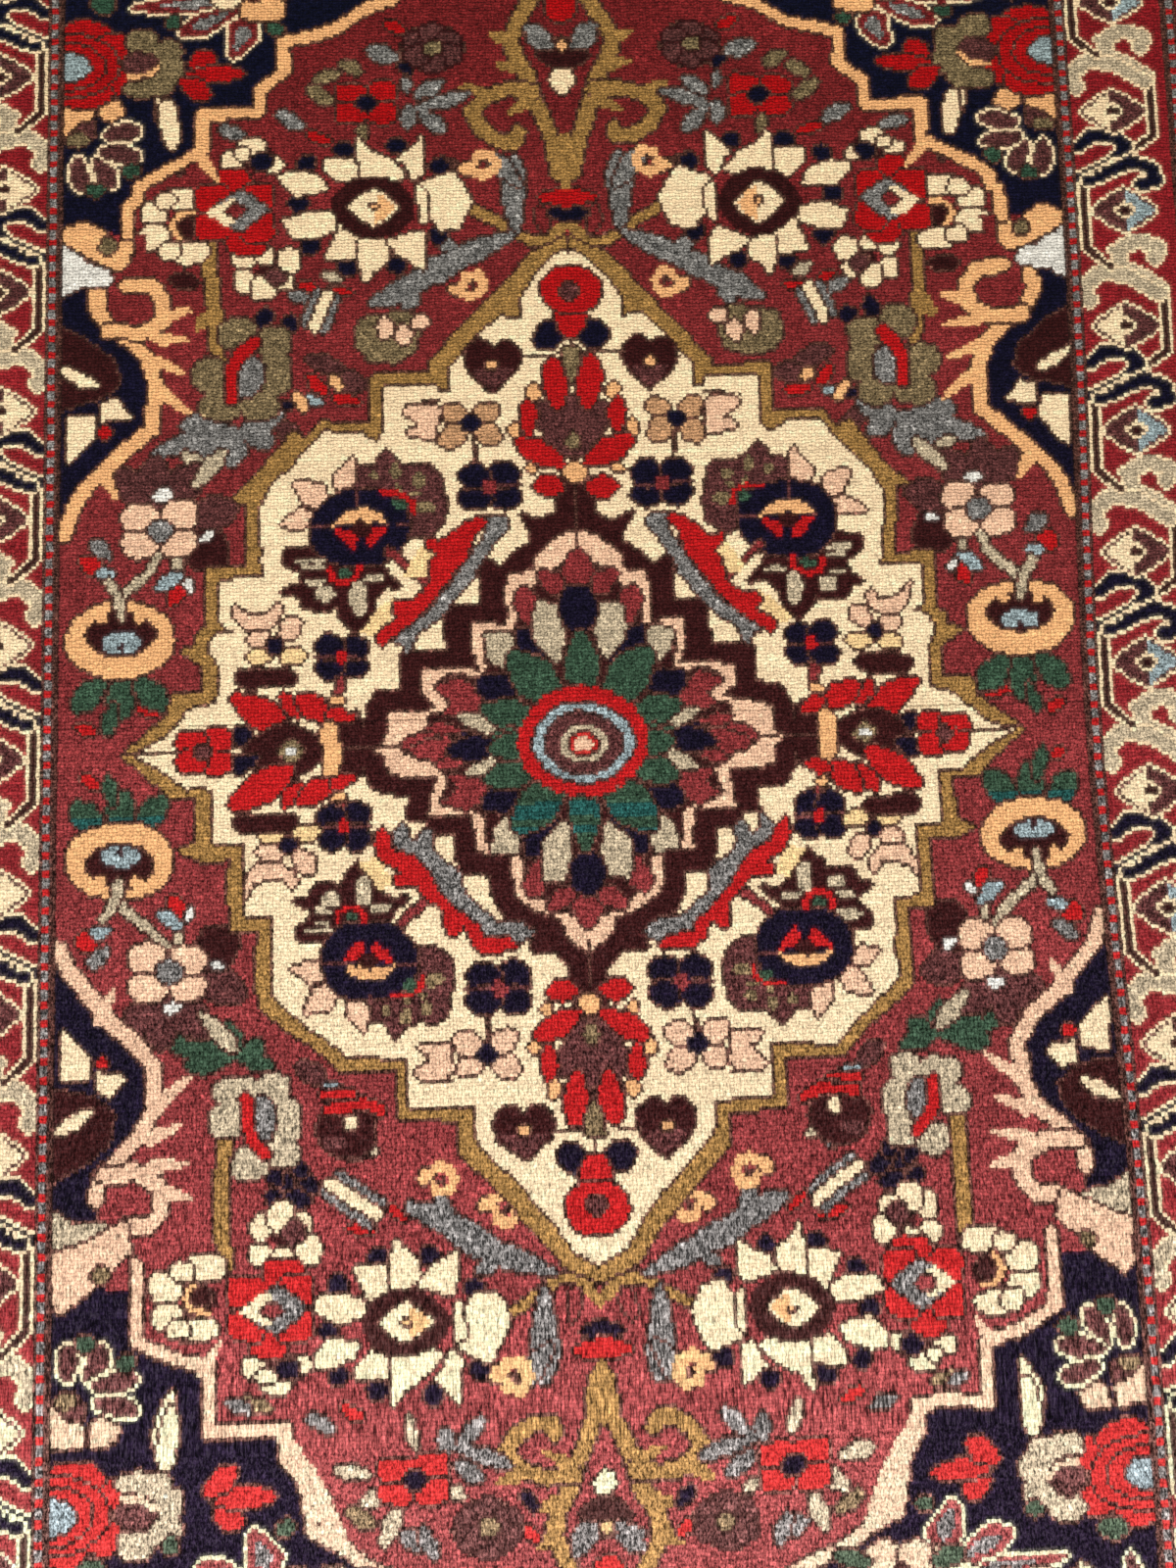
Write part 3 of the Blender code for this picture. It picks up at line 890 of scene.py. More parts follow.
def corner(chart, line, upper, up, rise, edging):
    """One corner: navy ground inside a pale line with hooks, and its half flower."""
    pen = Pen(chart)
    ends = [(285, up * 505), (285, line[0][1] - up * 4)]
    pen.patch(NAVY, line + [(262, up * (270 - rise)), upper[0]] + upper[1:] + ends)
    local = Pen(chart, 0, -up * rise, up)
    local.patch(AUBERGINE, [(284, 195), (262, 200), (252, 207), (256, 222), (270, 233),
                            (284, 240)])
    local.petal(IVORY, 284, 217, 264, 206, 7)
    local.patch(IVORY, [(281, 162), (281, 190), (266, 190), (265, 178), (274, 168)])
    local.patch(IVORY, [(262, 186), (262, 196), (254, 199), (245, 188)])
    local.oval(SCARLET, 259, 180, 3.5, 3)
    local.patch(MADDER, [(284, 268), (262, 262), (240, 270), (236, 296), (284, 296)], None)
    pen.stroke(edging, line, 7.5)
    local.stroke(edging, [(258, 238), (240, 237), (229, 244), (227, 256), (233, 265),
                         (248, 266)], 8)
    for x0, y0, x1, y1 in ((230, 246, 211, 251), (236, 235, 213, 233), (238, 222, 215, 213),
                           (234, 206, 211, 189), (262, 160, 252, 142)):
        local.petal(edging, x0, y0, x1, y1, 8, None, widest=0.2)
    silver = [(284, 289), (274, 283), (270, 279), (258, 276), (256, 270), (258, 266), (275, 264),
              (284, 258)]
    if up < 0:
        silver = [(284, 276), (268, 273), (257, 272), (257, 264), (268, 263), (276, 261),
                  (284, 255)]
    local.patch(SILVER if up > 0 else KHAKI, silver)
    pen.stroke(edging, upper, 6)
    shoulder = [(284, 299), (272, 303), (262, 297), (256, 288), (252, 292), (245, 291),
                (246, 280), (252, 275), (270, 283), (284, 291)]
    if up < 0:
        shoulder = [(284, 278), (272, 274), (262, 269), (247, 262), (243, 278), (257, 289),
                    (264, 297), (274, 304), (279, 308), (284, 301)]
    local.patch(edging, shoulder)
    local.oval(OLIVE, 259, 289, 4.5, 4)
    local.petal(edging, 208, 342, 196, 325, 7, None, widest=0.2)
    local.petal(IVORY, 221, 348, 230, 375, 9)
    corner_flowers(local, edging)


def corner_flowers(pen, light):
    """What fills the navy ground of a corner, up to the end of the field."""
    half, spray, fan, calyx = pen, pen, pen, OLIVE
    if pen.scale[1] < 0:
        half, spray, fan = [Pen(pen.chart, x, pen.place[1] - y, -1)
                            for x, y in ((0, 11), (-13, 12), (-8, 17))]
        calyx = KHAKI
    for x0, y0, x1, y1 in ((276, 343, 274, 323), (266, 343, 256, 324), (264, 345, 240, 341),
                           (262, 353, 240, 357)):
        pen.petal(BROWN, x0, y0, x1, y1, 11, IVORY, fullness=0.35)
    pen.petal(BROWN, 284, 366, 268, 352, 18)
    pen.oval(OLIVE, 276, 352, 6, 3.5)
    for x, y in ((266, 323), (246, 333)):
        pen.oval(GREEN, x, y, 5, 4)
    pen.patch(light, [(283, 374), (268, 374), (267, 364), (276, 361), (283, 354)])
    pen.patch(light, [(264, 375), (252, 373), (249, 366), (258, 361), (263, 364)])
    half.petal(IVORY, 225, 375, 222, 346, 10, widest=0.4, fullness=0.25)
    for x, y, half_x, half_y in ((272, 413, 16, 10), (255, 406, 13, 10), (255, 388, 13, 10),
                                 (272, 379, 16, 9)):
        half.oval(SCARLET, x, y, half_x, half_y)
    for radius, yarn in ((0.78, SCARLET), (0.56, SCARLET), (0.34, SKY)):
        half.oval(yarn, 284, 396, 40 * radius, 24 * radius)
    for line in (UMBER, None):
        for x, y, half_x, half_y in ((243, 412, 9, 7), (229, 405, 9, 7), (226, 393, 7, 8),
                                     (233, 384, 8, 7), (243, 381, 9, 5)):
            half.oval(calyx, x - 3, y, half_x, half_y, line, power=2.6)
    half.oval(BROWN, 240, 397, 10, 8)
    half.stroke(light, [(246, 389), (236, 390), (230, 396)], 3, None)
    spray.petal(SCARLET, 211, 393, 200, 403, 13, widest=0.5, fullness=0.3)
    spray.petal(SCARLET, 216, 389, 182, 391, 11)
    spray.petal(SCARLET, 218, 388, 201, 376, 12)
    for x0, y0, x1, y1, width, widest in ((168, 438, 246, 431, 13, 0.4),
                                          (184, 430, 218, 416, 15, 0.7),
                                          (178, 424, 189, 400, 19, 0.3)):
        fan.petal(MADDER, x0, y0, x1, y1, width, IVORY, widest)
        fan.petal(GREY, x0 * 0.8 + x1 * 0.2, y0 * 0.8 + y1 * 0.2, x0 * 0.2 + x1 * 0.8,
                  y0 * 0.2 + y1 * 0.8, width * 0.5, None, widest)
    fan.oval(light, 171, 430, 12, 8, power=3)
    fan.oval(IVORY, 191, 435, 8, 5)
    for x, y, reach in ((262, 434, 7), (222, 423, 4.5), (164, 418, 4.5)):
        pen.oval(GREEN, x, y, reach, reach * 0.8)
    for x, y in ((150, 452), (214, 468)):
        flower = Pen(pen.chart, x, pen.place[1] + y * pen.scale[1], 1)
        round_flower(flower, light, AUBERGINE, 19, 15)
        for side in (-1, 1):
            flower.petal(GREEN, side * 16, 4, side * 34, 12, 10)
            flower.petal(SCARLET, side * 15, -6, side * 30, -14, 10)
    pen.petal(IVORY, 244, 452, 262, 480, 12)
    pen.petal(BROWN, 270, 446, 276, 486, 12, IVORY)


def corners(chart):
    """The four corners of the field."""
    corner(chart, CORNER_LINE[0], UPPER_LINE[0], 1, 0, PEACH)
    corner(chart, CORNER_LINE[1], UPPER_LINE[1], -1, 17, PINK)
    Pen(chart).petal(PINK, 167, -353, 134, -413, 12, None, fullness=0.3)


# ----------------------------------------------------------------- the borders


class Strip:
    """One repeat of a border: rows along it, columns across it from the field outwards."""

    def __init__(self, ground, width, across_step, repeat, along_step):
        rows, columns = round(repeat / along_step), round(width / across_step)
        self.column_width = width / columns
        self.row_middles = (np.arange(rows) + 0.5) * repeat / rows
        self.yarn = np.full((1, rows, columns), ground)
        middles = (np.arange(columns) + 0.5) * self.column_width
        self.across = np.broadcast_to(middles, self.yarn.shape)
        self.along = np.broadcast_to(self.row_middles[None, :, None], self.yarn.shape)


def hooks(pen, yarn, upper, lower, dashes=()):
    """A pair of hooks, back to back and edged in ivory."""
    pen.stroke(yarn, upper, 7.6, IVORY)
    pen.stroke(yarn, lower, 7.6, IVORY)
    for x, y in dashes:
        pen.oval(IVORY, x, y, 1.7, 1.3, None)


def scroll_flower(pen, light):
    """A pointed flower, one half light and the other dark."""
    pen.oval(BROWN, 0, 0, 18.5, 13.5, IVORY, power=1.25)
    pen.patch(light, [(1, 13), (18, 0), (1, -13)], None)
    pen.oval(IVORY, 0, 0, 7, 5.5, None, power=1.3)
    pen.oval(AUBERGINE, 0, 0, 4, 3, None)


def scroll_border(strip):
    """The hooked scroll: an olive pair, a flower, a navy pair and a flower."""
    for start in (-SCROLL_REPEAT, 0.0, SCROLL_REPEAT):
        pen = Pen(strip, 0, start)
        pen.stroke(AUBERGINE, [(47, 98), (47, 62), (35, 54)], 3.6, IVORY)
        pen.stroke(AUBERGINE, [(3, 38), (3, -8), (17, -20)], 3.6, IVORY)
        hooks(Pen(strip, 0, start + 92), KHAKI,
              [(43, 27), (45, 34), (33, 39), (21, 32), (24, 22), (37, 15), (45, 8)],
              [(3, 2), (2, 12), (11, 19), (26, 17), (39, 8), (44, 5)])
        hooks(Pen(strip, 0, start + 30), NAVY,
              [(3, 26), (11, 33), (22, 33), (30, 25), (20, 14), (4, 6)],
              [(7, 4), (20, 10), (33, 16), (45, 10), (46, 3), (38, 1)],
              ((10, 8), (14, 11), (18, 14), (22, 17)))
        scroll_flower(Pen(strip, 24, start + 78, size=-1), IVORY)
        scroll_flower(Pen(strip, 27, start + 15), SKY)


def main_border(strip):
    """The wide border: a rosette and a palmette on a leafy winding stem."""
    for start in (-MAIN_REPEAT, 0.0, MAIN_REPEAT):
        pen = Pen(strip, 0, start)
        pen.stroke(KHAKI, [(20, 0), (12, 28), (24, 52), (46, 62), (72, 70), (80, 92),
                           (72, 120), (46, 128), (24, 138), (20, 166)], 3.4)
        for x0, y0, x1, y1 in ((12, 28, 30, 40), (80, 92, 60, 84), (12, 34, 8, 58),
                               (80, 98, 86, 124), (24, 138, 40, 150), (70, 68, 54, 52)):
            pen.petal(GREEN, x0, y0, x1, y1, 10)
        rosette = Pen(strip, 46.5, start + 20)
        for share in range(8):
            angle = math.pi * share / 4
            rosette.petal(IVORY, 0, 0, 36 * math.sin(angle), 33 * math.cos(angle), 22)
        rosette.oval(NAVY, 0, 0, 18, 16)
        rosette.oval(SCARLET, 0, 0, 10, 9, PEACH)
        palmette = Pen(strip, 46.5, start + 102)
        palmette.oval(NAVY, 0, 0, 27, 25, power=1.5)
        for side in (-1, 1):
            palmette.petal(PEACH, side * 6, -12, side * 27, 14, 14)
            palmette.petal(SCARLET, side * 3, -6, side * 12, 27, 13)
        palmette.petal(IVORY, 0, -14, 0, 17, 13)
        for side in (-1, 1):
            bud = Pen(strip, 46.5 + side * 34, start + 62 + side * 2)
            bud.oval(SCARLET, 0, 0, 8, 7)
            bud.oval(IVORY, 0, 0, 3.4, 2.8, None)


def guard_stripe(strip, first, second):
    """A narrow guard: small dashes of two yarns down a dark band."""
    dash = np.where(strip.row_middles % (2 * GUARD_DASH) < GUARD_DASH, first, second)
    strip.yarn[0, :, 2:4] = dash[:, None]


def corner_square(chart, up, start, width, petal_yarn):
    """A plain rosette where a side border meets an end border."""
    middle = start + width / 2
    pen = Pen(chart, HALF_FIELD + middle, up * (HALF_FIELD_LENGTH + middle), up, width / 93)
    pen.oval(MADDER, 0, 0, 48, 48, None, power=30)
    for share in range(8):
        angle = math.pi * share / 4
        pen.petal(petal_yarn, 0, 0, 38 * math.sin(angle), 38 * math.cos(angle), 22)
    pen.oval(NAVY, 0, 0, 17, 17)
    pen.oval(SCARLET, 0, 0, 8, 8, PEACH)


def lay_border(chart, start, width, ground, repeat, draw, *yarns):
    """Work one border right round: down both sides, then across both ends to the mitre."""
    side = Strip(ground, width, KNOT_WIDTH, repeat, 2 * PILE_HALF_LENGTH / PILE_ROWS)
    end = Strip(ground, width, END_ROW, repeat, KNOT_WIDTH)
    for strip in (side, end):
        draw(strip, *yarns)
    first = math.ceil((HALF_FIELD + start) / KNOT_WIDTH)
    columns = side.yarn.shape[2]
    for half, shift in enumerate(SIDE_SHIFTS):
        rows = np.arange(PILE_ROWS) + round(shift * PILE_ROWS / (2 * PILE_HALF_LENGTH))
        chart.yarn[half, :, first:first + columns] = side.yarn[0][rows % side.yarn.shape[1]]
    beyond = (np.abs(chart.row_middles) - HALF_FIELD_LENGTH - start) / width
    for row in np.flatnonzero((beyond >= 0) & (beyond < 1)):
        reach = math.ceil((HALF_FIELD + start + beyond[row] * width) / KNOT_WIDTH)
        along = np.arange(reach) % end.yarn.shape[1]
        chart.yarn[:, row, :reach] = end.yarn[0, along, int(beyond[row] * end.yarn.shape[2])]


def borders(chart):
    """Inner guard, hooked scroll, middle guard, wide border, outer guard and plain edge."""
    start = 0.0
    for width, ground, repeat, draw, yarns in (
            (GUARD, UMBER, 2 * GUARD_DASH, guard_stripe, (SCARLET, GREY)),
            (SCROLL, CRIMSON, SCROLL_REPEAT, scroll_border, ()),
            (GUARD, UMBER, 2 * GUARD_DASH, guard_stripe, (SCARLET, GREY)),
            (MAIN, MADDER, MAIN_REPEAT, main_border, ()),
            (GUARD, UMBER, 2 * GUARD_DASH, guard_stripe, (SCARLET, GREY)),
            (PLAIN_EDGE, AUBERGINE, KNOT_WIDTH, lambda strip: None, ())):
        lay_border(chart, start, width, ground, repeat, draw, *yarns)
        if width in (SCROLL, MAIN):
            for up in (1, -1):
                corner_square(chart, up, start, width, KHAKI if width == SCROLL else IVORY)
        start += width


# ----------------------------------------------------------------- settings


def linear(shade):
    """A colour from 0 to 255 as the linear one that light is worked out in."""
    parts = [value / 255 for value in shade]
    return tuple(part / 12.92 if part <= 0.04045 else ((part + 0.055) / 1.055) ** 2.4
                 for part in parts)


def yarn_colour(name, shade, note):
    """A colour setting for one yarn, given as the eye sees it, from 0 to 255."""
    return FloatVectorProperty(name=name, description=note, subtype="COLOR", size=3,
                               min=0.0, max=1.0, default=linear(shade))


class YarnColours(bpy.types.PropertyGroup):
    """The dyes."""

    madder: yarn_colour("Madder", (102, 11, 13), "The dark red ground")
    scarlet: yarn_colour("Scarlet", (162, 3, 6), "Bright petals and hooks")
    navy: yarn_colour("Navy", (2, 11, 31), "The corners and dark flowers")
    aubergine: yarn_colour("Aubergine", (46, 15, 14), "The dark stepped band and the cords")
    umber: yarn_colour("Umber", (72, 47, 36), "Outlines")
    ivory: yarn_colour("Ivory", (250, 217, 168), "The medallion's ground")
    cream: yarn_colour("Cream", (246, 205, 140), "Warm patches in the ivory")
    peach: yarn_colour("Peach", (242, 178, 116), "Corner lines and rings")
    pink: yarn_colour("Pink", (240, 190, 150), "Pale petals")
    gold: yarn_colour("Gold", (154, 116, 60), "The medallion's edge")
    olive: yarn_colour("Olive", (120, 104, 70), "Leaves and hooks")
    khaki: yarn_colour("Khaki", (190, 171, 136), "Pale leaves")
    grey: yarn_colour("Grey", (122, 120, 112), "Heathered leaves")
    sky: yarn_colour("Sky", (150, 166, 162), "Small pale blue hearts")
    green: yarn_colour("Green", (42, 72, 52), "The central petals")
    teal: yarn_colour("Teal", (20, 84, 76), "Blue-green leaves")
    silver: yarn_colour("Silver", (226, 218, 200), "White hooks and tufts")
    crimson: yarn_colour("Crimson", (132, 14, 22), "The ground of the hooked border")
    # The colour the near end pales towards: faded wool with painted sheen.
    paled: yarn_colour("Faded", (210, 102, 98), "What the worn end has faded towards")
    brown: yarn_colour("Brown", (84, 48, 44), "Faded brown flowers")
    tan: yarn_colour("Tan", (198, 148, 102), "Tan petals")


class PileSettings(bpy.types.PropertyGroup):
    """The tufts."""

    pile_height: FloatProperty(
        name="Pile height", description="From the floor to the tips of the tufts",
        default=float(CLOTH_HIGH[2]), unit="LENGTH")
    tuft_stray: FloatProperty(
        name="Tuft stray", description="How far a tuft leans off its place",
        default=0.00022, unit="LENGTH")
    colour_spread: FloatProperty(
        name="Colour spread", description="How far neighbouring colours mingle at a tuft's rim",
        min=0.0, max=1.0, default=0.22)
    tuft_rise: FloatProperty(
        name="Tuft rise", description="How unevenly the tufts are clipped",
        default=0.00022, unit="LENGTH")
    edge_round: FloatProperty(
        name="Edge round", description="How far the outermost tufts fall away",
        default=0.0018, unit="LENGTH")


class WeaveSettings(bpy.types.PropertyGroup):
    """The woven base, its ends and the side cords."""

    base_thickness: FloatProperty(
        name="Base thickness", description="Thickness of the woven base under the pile",
        default=0.003, unit="LENGTH")
    end_picks: IntProperty(
        name="End picks", description="Weft picks in each flat-woven end", default=9)
    cord_wraps: IntProperty(
        name="Cord wraps", description="Turns of wool round each side cord", default=460)
    back_relief: FloatProperty(
        name="Back relief", description="How far the knots stand out underneath",
        default=0.0003, unit="LENGTH")
    cord_sides: IntProperty(
        name="Cord sides", description="Faces round a side cord", default=10)
    cord_colour: yarn_colour("Cord colour", (74, 28, 32), "The wool round the side cords")
    woven_colour: FloatVectorProperty(
        name="Weft", description="Colour of the cotton weft", subtype="COLOR", size=3,
        min=0.0, max=1.0, default=(0.62, 0.54, 0.40))


class StageSettings(bpy.types.PropertyGroup):
    """Floor, light and camera."""

    floor_colour: FloatVectorProperty(
        name="Floor", description="Colour of the plain floor", subtype="COLOR", size=3,
        min=0.0, max=1.0, default=(0.74, 0.72, 0.69))
    camera_height: FloatProperty(
        name="Camera height", description="Height of the lens over the floor",
        default=0.64444, unit="LENGTH")
    key_power: FloatProperty(
        name="Key power", description="Power of the large soft light", default=30.0,
        unit="POWER")
    fill_strength: FloatProperty(
        name="Fill", description="Strength of the even light all round", default=0.90)


class RugSettings(bpy.types.PropertyGroup):
    """All the settings of the rug."""

    colours: PointerProperty(type=YarnColours)
    pile: PointerProperty(type=PileSettings)
    weave: PointerProperty(type=WeaveSettings)
    stage: PointerProperty(type=StageSettings)


# ----------------------------------------------------------------- shader maths


class Link:
    """A value in a shader: Python sums on it add Math nodes."""

    def __init__(self, tree, socket):
        self.tree = tree
        self.socket = socket

    def _maths(self, operation, first, second=None):
        values = (first,) if second is None else (first, second)
        return add_node(self.tree, "ShaderNodeMath", {"operation": operation}, values)

    def __add__(self, other):
        return self._maths("ADD", self, other)

    def __sub__(self, other):
        return self._maths("SUBTRACT", self, other)

    def __mul__(self, other):
        return self._maths("MULTIPLY", self, other)

    def __truediv__(self, other):
        return self._maths("DIVIDE", self, other)

    def __pow__(self, other):
        return self._maths("POWER", self, other)

    def __rsub__(self, other):
        return self._maths("SUBTRACT", other, self)

    __radd__ = __add__
    __rmul__ = __mul__

    def part(self):
        """What is left past the whole number."""
        return self._maths("FRACT", self)

    def size(self):
        """The value without its sign."""
        return self._maths("ABSOLUTE", self)

    def clipped(self, low, high):
        """The value kept between two others."""
        return self._maths("MAXIMUM", self._maths("MINIMUM", self, high), low)


def add_node(tree, kind, settings=None, values=(), output=0):
    """A node of a kind: its settings first, then the values or links of its sockets."""
    node = tree.nodes.new(kind)
    for name, value in (settings or {}).items():
        setattr(node, name, value)
    pairs = values.items() if isinstance(values, dict) else enumerate(values)
    for name, value in pairs:
        if isinstance(value, Link):
            tree.links.new(value.socket, node.inputs[name])
        else:
            node.inputs[name].default_value = value
    return Link(tree, node.outputs[output])


def mixed(tree, share, first, second, blend="MIX"):
    """Two colours mixed, or one laid over the other by a blend."""
    settings = {"data_type": "RGBA", "blend_type": blend, "clamp_factor": True}
    return add_node(tree, "ShaderNodeMix", settings, {0: share, 6: first, 7: second}, 2)


def grey(tree, value):
    """A value as a shade of grey."""
    return add_node(tree, "ShaderNodeCombineColor", None, (value, value, value))


def noise(tree, place, scale, detail=2.0, roughness=0.5):
    """Soft noise from 0 to 1."""
    return add_node(tree, "ShaderNodeTexNoise", {"noise_dimensions": "3D"},
                    {"Vector": place, "Scale": scale, "Detail": detail,
                     "Roughness": roughness})


def wool_material(name, sheen, roughness):
    """A new material with its shader, ready for what varies over the surface."""
    material = bpy.data.materials.new(name)
    material.use_nodes = True
    tree = material.node_tree
    shader = tree.nodes["Principled BSDF"]
    shader.inputs["Metallic"].default_value = 0.0
    shader.inputs["Specular IOR Level"].default_value = 0.04
    shader.inputs["Sheen Weight"].default_value = sheen
    shader.inputs["Sheen Roughness"].default_value = 0.45
    shader.inputs["Roughness"].default_value = roughness
    return material, tree, shader


def joined(tree, shader, colour, roughness, height, distance):
    """Feed the shader its colour, roughness and relief."""
    bump = add_node(tree, "ShaderNodeBump", None,
                    {"Strength": 1.0, "Distance": distance, "Height": height})
    tree.links.new(colour.socket, shader.inputs["Base Color"])
    tree.links.new(roughness.socket, shader.inputs["Roughness"])
    tree.links.new(bump.socket, shader.inputs["Normal"])


def pile_finish():
    """Clipped wool: painted shade between the rows and between the tufts, deeper where it stands up,
    and brushed with painted highlights on loose hair tips where it leans nearer by.
    """
    material, tree, shader = wool_material("clipped_wool", 0.006, 0.9)
    yarn = add_node(tree, "ShaderNodeAttribute", {"attribute_name": "yarn"})
    mix = add_node(tree, "ShaderNodeAttribute", {"attribute_name": "yarn"}, (), 3)
    place = add_node(tree, "ShaderNodeTexCoord", None, (), 3)
    knots = add_node(tree, "ShaderNodeUVMap", {"uv_map": "knots"})
    length = add_node(tree, "ShaderNodeSeparateXYZ", None, (place,), 1)
    lean = (0.42 - length * 1.6).clipped(0.0, 1.0)
    comb = add_node(tree, "ShaderNodeCombineXYZ", None, (1.0, 1.0 - 0.55 * lean, 1.0))
    brushed = add_node(tree, "ShaderNodeVectorMath", {"operation": "MULTIPLY"}, (place, comb))
    wander = noise(tree, place, 420.0, 2.0) - 0.5
    jitter = noise(tree, place, 510.0, 2.0) - 0.5
    across = add_node(tree, "ShaderNodeSeparateXYZ", None, (knots,), 0) + jitter * 1.3
    along = add_node(tree, "ShaderNodeSeparateXYZ", None, (knots,), 1) + wander * 1.2
    row_edge = ((along.part() - 0.5).size() * 2.0) ** 2.5
    side_edge = ((across.part() - 0.5).size() * 2.0) ** 2.5
    rough = 0.30 + 5.0 * mix
    fibre = (noise(tree, brushed, 1300.0, 2.0, 0.7) - 0.5) * rough * (2.6 + 1.8 * lean)
    fluff = (noise(tree, brushed, 720.0, 2.0) - 0.5) * rough * (1.7 + 1.4 * lean)
    speck = (noise(tree, brushed, 880.0, 1.0) - 0.5) * mix * 11.0
    height = 1.0 - row_edge * (0.7 - 0.4 * lean) - side_edge * 0.4 + (fibre + fluff) * 0.4
    # Painted shade in the gaps between rows and between tufts, weaker on pale yarns, with random
    # fibre tone over it.
    gap_shade = 1.0 - 0.55 * add_node(tree, "ShaderNodeSeparateColor", None, (yarn,), 1)
    shade = 1.0 - row_edge * (0.66 - 0.34 * lean) * gap_shade
    shade = shade * (1.0 - side_edge * (0.26 + 0.16 * lean) * gap_shade)
    shade = shade * (1.0 + fibre + fluff + speck).clipped(0.15, 2.3)
    colour = mixed(tree, 1.0, yarn, grey(tree, shade), "MULTIPLY")
    # Painted highlights on loose hair tips, growing towards the near end.
    hair_highlights = ((fibre + fluff) * lean * 0.06).clipped(0.0, 0.05)
    colour = mixed(tree, hair_highlights, colour, LOOSE_HAIR_HIGHLIGHT)
    joined(tree, shader, colour, (0.9 + 0.1 * fluff).clipped(0.7, 1.0), height, 0.0006)
    return material


def woven_finish():
    """Cotton weft: flat ribs packed over the warps, with painted shade between the ribs and picks."""
    material, tree, shader = wool_material("woven_cotton", 0.05, 0.9)
    yarn = add_node(tree, "ShaderNodeAttribute", {"attribute_name": "yarn"})
    place = add_node(tree, "ShaderNodeTexCoord", None, (), 3)
    knots = add_node(tree, "ShaderNodeUVMap", {"uv_map": "knots"})
    across = add_node(tree, "ShaderNodeSeparateXYZ", None, (knots,), 0)
    along = add_node(tree, "ShaderNodeSeparateXYZ", None, (knots,), 1)
    rib = 1.0 - ((across * 2.0).part() - 0.5).size() * 2.0
    pick = 1.0 - ((along * 2.0).part() - 0.5).size() * 2.0
    thread = noise(tree, place, 1500.0, 3.0, 0.6)
    height = rib ** 0.6 + pick ** 0.5 * 0.6 + thread * 0.4
    # Painted shade between the ribs and between the picks, with random thread tone.
    shade = (0.62 + 0.38 * rib ** 0.5) * (0.80 + 0.20 * pick) * (0.82 + 0.36 * thread)
    colour = mixed(tree, 1.0, yarn, grey(tree, shade), "MULTIPLY")
    joined(tree, shader, colour, 0.84 + 0.14 * thread, height, 0.0005)
    return material


def cord_finish():
    """Wool wrapped tight round the side cord."""
    material, tree, shader = wool_material("wrapped_wool", 0.12, 0.85)
    yarn = add_node(tree, "ShaderNodeAttribute", {"attribute_name": "yarn"})
    place = add_node(tree, "ShaderNodeTexCoord", None, (), 3)
    hair = noise(tree, place, 2200.0, 3.0, 0.6)
    tone = noise(tree, place, 60.0, 2.0)
    shade = (0.72 + 0.56 * hair) * (0.86 + 0.28 * tone)
    colour = mixed(tree, 1.0, yarn, grey(tree, shade), "MULTIPLY")
    joined(tree, shader, colour, 0.78 + 0.18 * hair, hair, 0.0004)
    return material


# ----------------------------------------------------------------- meshes


def drawn_in(x, y):
    """X in millimetres once the right-hand side is drawn in at mid length."""
    share = np.clip(x / HALF_FIELD, 0.0, 1.0)
    return x - DRAW_IN * share * np.exp(-(y / DRAW_IN_REACH) ** 2)


def on_rug(column, row):
    """The place in metres of a point of the chart, given in knots."""
    x = (column - COLUMNS / 2) * KNOT_WIDTH
    y = np.interp(row, np.arange(PILE_ROWS + 1), row_heights())
    return drawn_in(x, y) * METRE, y * METRE


def knot_grid(columns, rows, step=(1, 1)):
    """A bmesh grid over part of the chart, with its corners on whole knots."""
    wide, high = columns[1] - columns[0], rows[1] - rows[0]
    grid = bmesh.new()
    bmesh.ops.create_grid(grid, x_segments=math.ceil(wide / step[0]),
                          y_segments=math.ceil(high / step[1]), size=0.5)
    bmesh.ops.scale(grid, vec=Vector((wide, high, 1.0)), verts=grid.verts)
    middle = Vector((sum(columns) / 2, sum(rows) / 2, 0.0))
    bmesh.ops.translate(grid, vec=middle, verts=grid.verts)
    return grid


def close_sheet(shell, rise=-1.0):
    """Give an open sheet side walls and a plain second face, so that it is a closed shell."""
    rim = [edge for edge in shell.edges if edge.is_boundary]
    walls = bmesh.ops.extrude_edge_only(shell, edges=rim)["geom"]
    corners = [item for item in walls if isinstance(item, bmesh.types.BMVert)]
    bmesh.ops.translate(shell, vec=Vector((0.0, 0.0, rise)), verts=corners)
    low_rim = [item for item in walls
               if isinstance(item, bmesh.types.BMEdge) and item.is_boundary]
    bmesh.ops.contextual_create(shell, geom=low_rim)
    bmesh.ops.recalc_face_normals(shell, faces=shell.faces)


def read_points(mesh):
    """The places of a mesh's points, one row for each."""
    values = np.empty(len(mesh.vertices) * 3, np.float32)
    mesh.vertices.foreach_get("co", values)
    return values.reshape(-1, 3).astype(float)


def face_middles(mesh):
    """The middle of each face of a mesh, one row for each."""
    loops = np.empty(len(mesh.loops), np.int32)
    mesh.loops.foreach_get("vertex_index", loops)
    starts = np.empty(len(mesh.polygons), np.int32)
    mesh.polygons.foreach_get("loop_start", starts)
    totals = np.empty(len(mesh.polygons), np.int32)
    mesh.polygons.foreach_get("loop_total", totals)
    return np.add.reduceat(read_points(mesh)[loops], starts) / totals[:, None], totals


def set_maps(mesh, knots, points):
    """The map that the knots are drawn on and an even one over the piece's extent."""
    loops = np.empty(len(mesh.loops), np.int32)
    mesh.loops.foreach_get("vertex_index", loops)
    flat = points[:, :2]
    low, high = flat.min(axis=0), flat.max(axis=0)
    even = (flat - low) / (high - low).max()
    for name, places in (("OFBake", even), ("knots", knots)):
        layer = mesh.uv_layers.new(name=name)
        layer.uv.foreach_set("vector", places[loops].astype(np.float32).ravel())


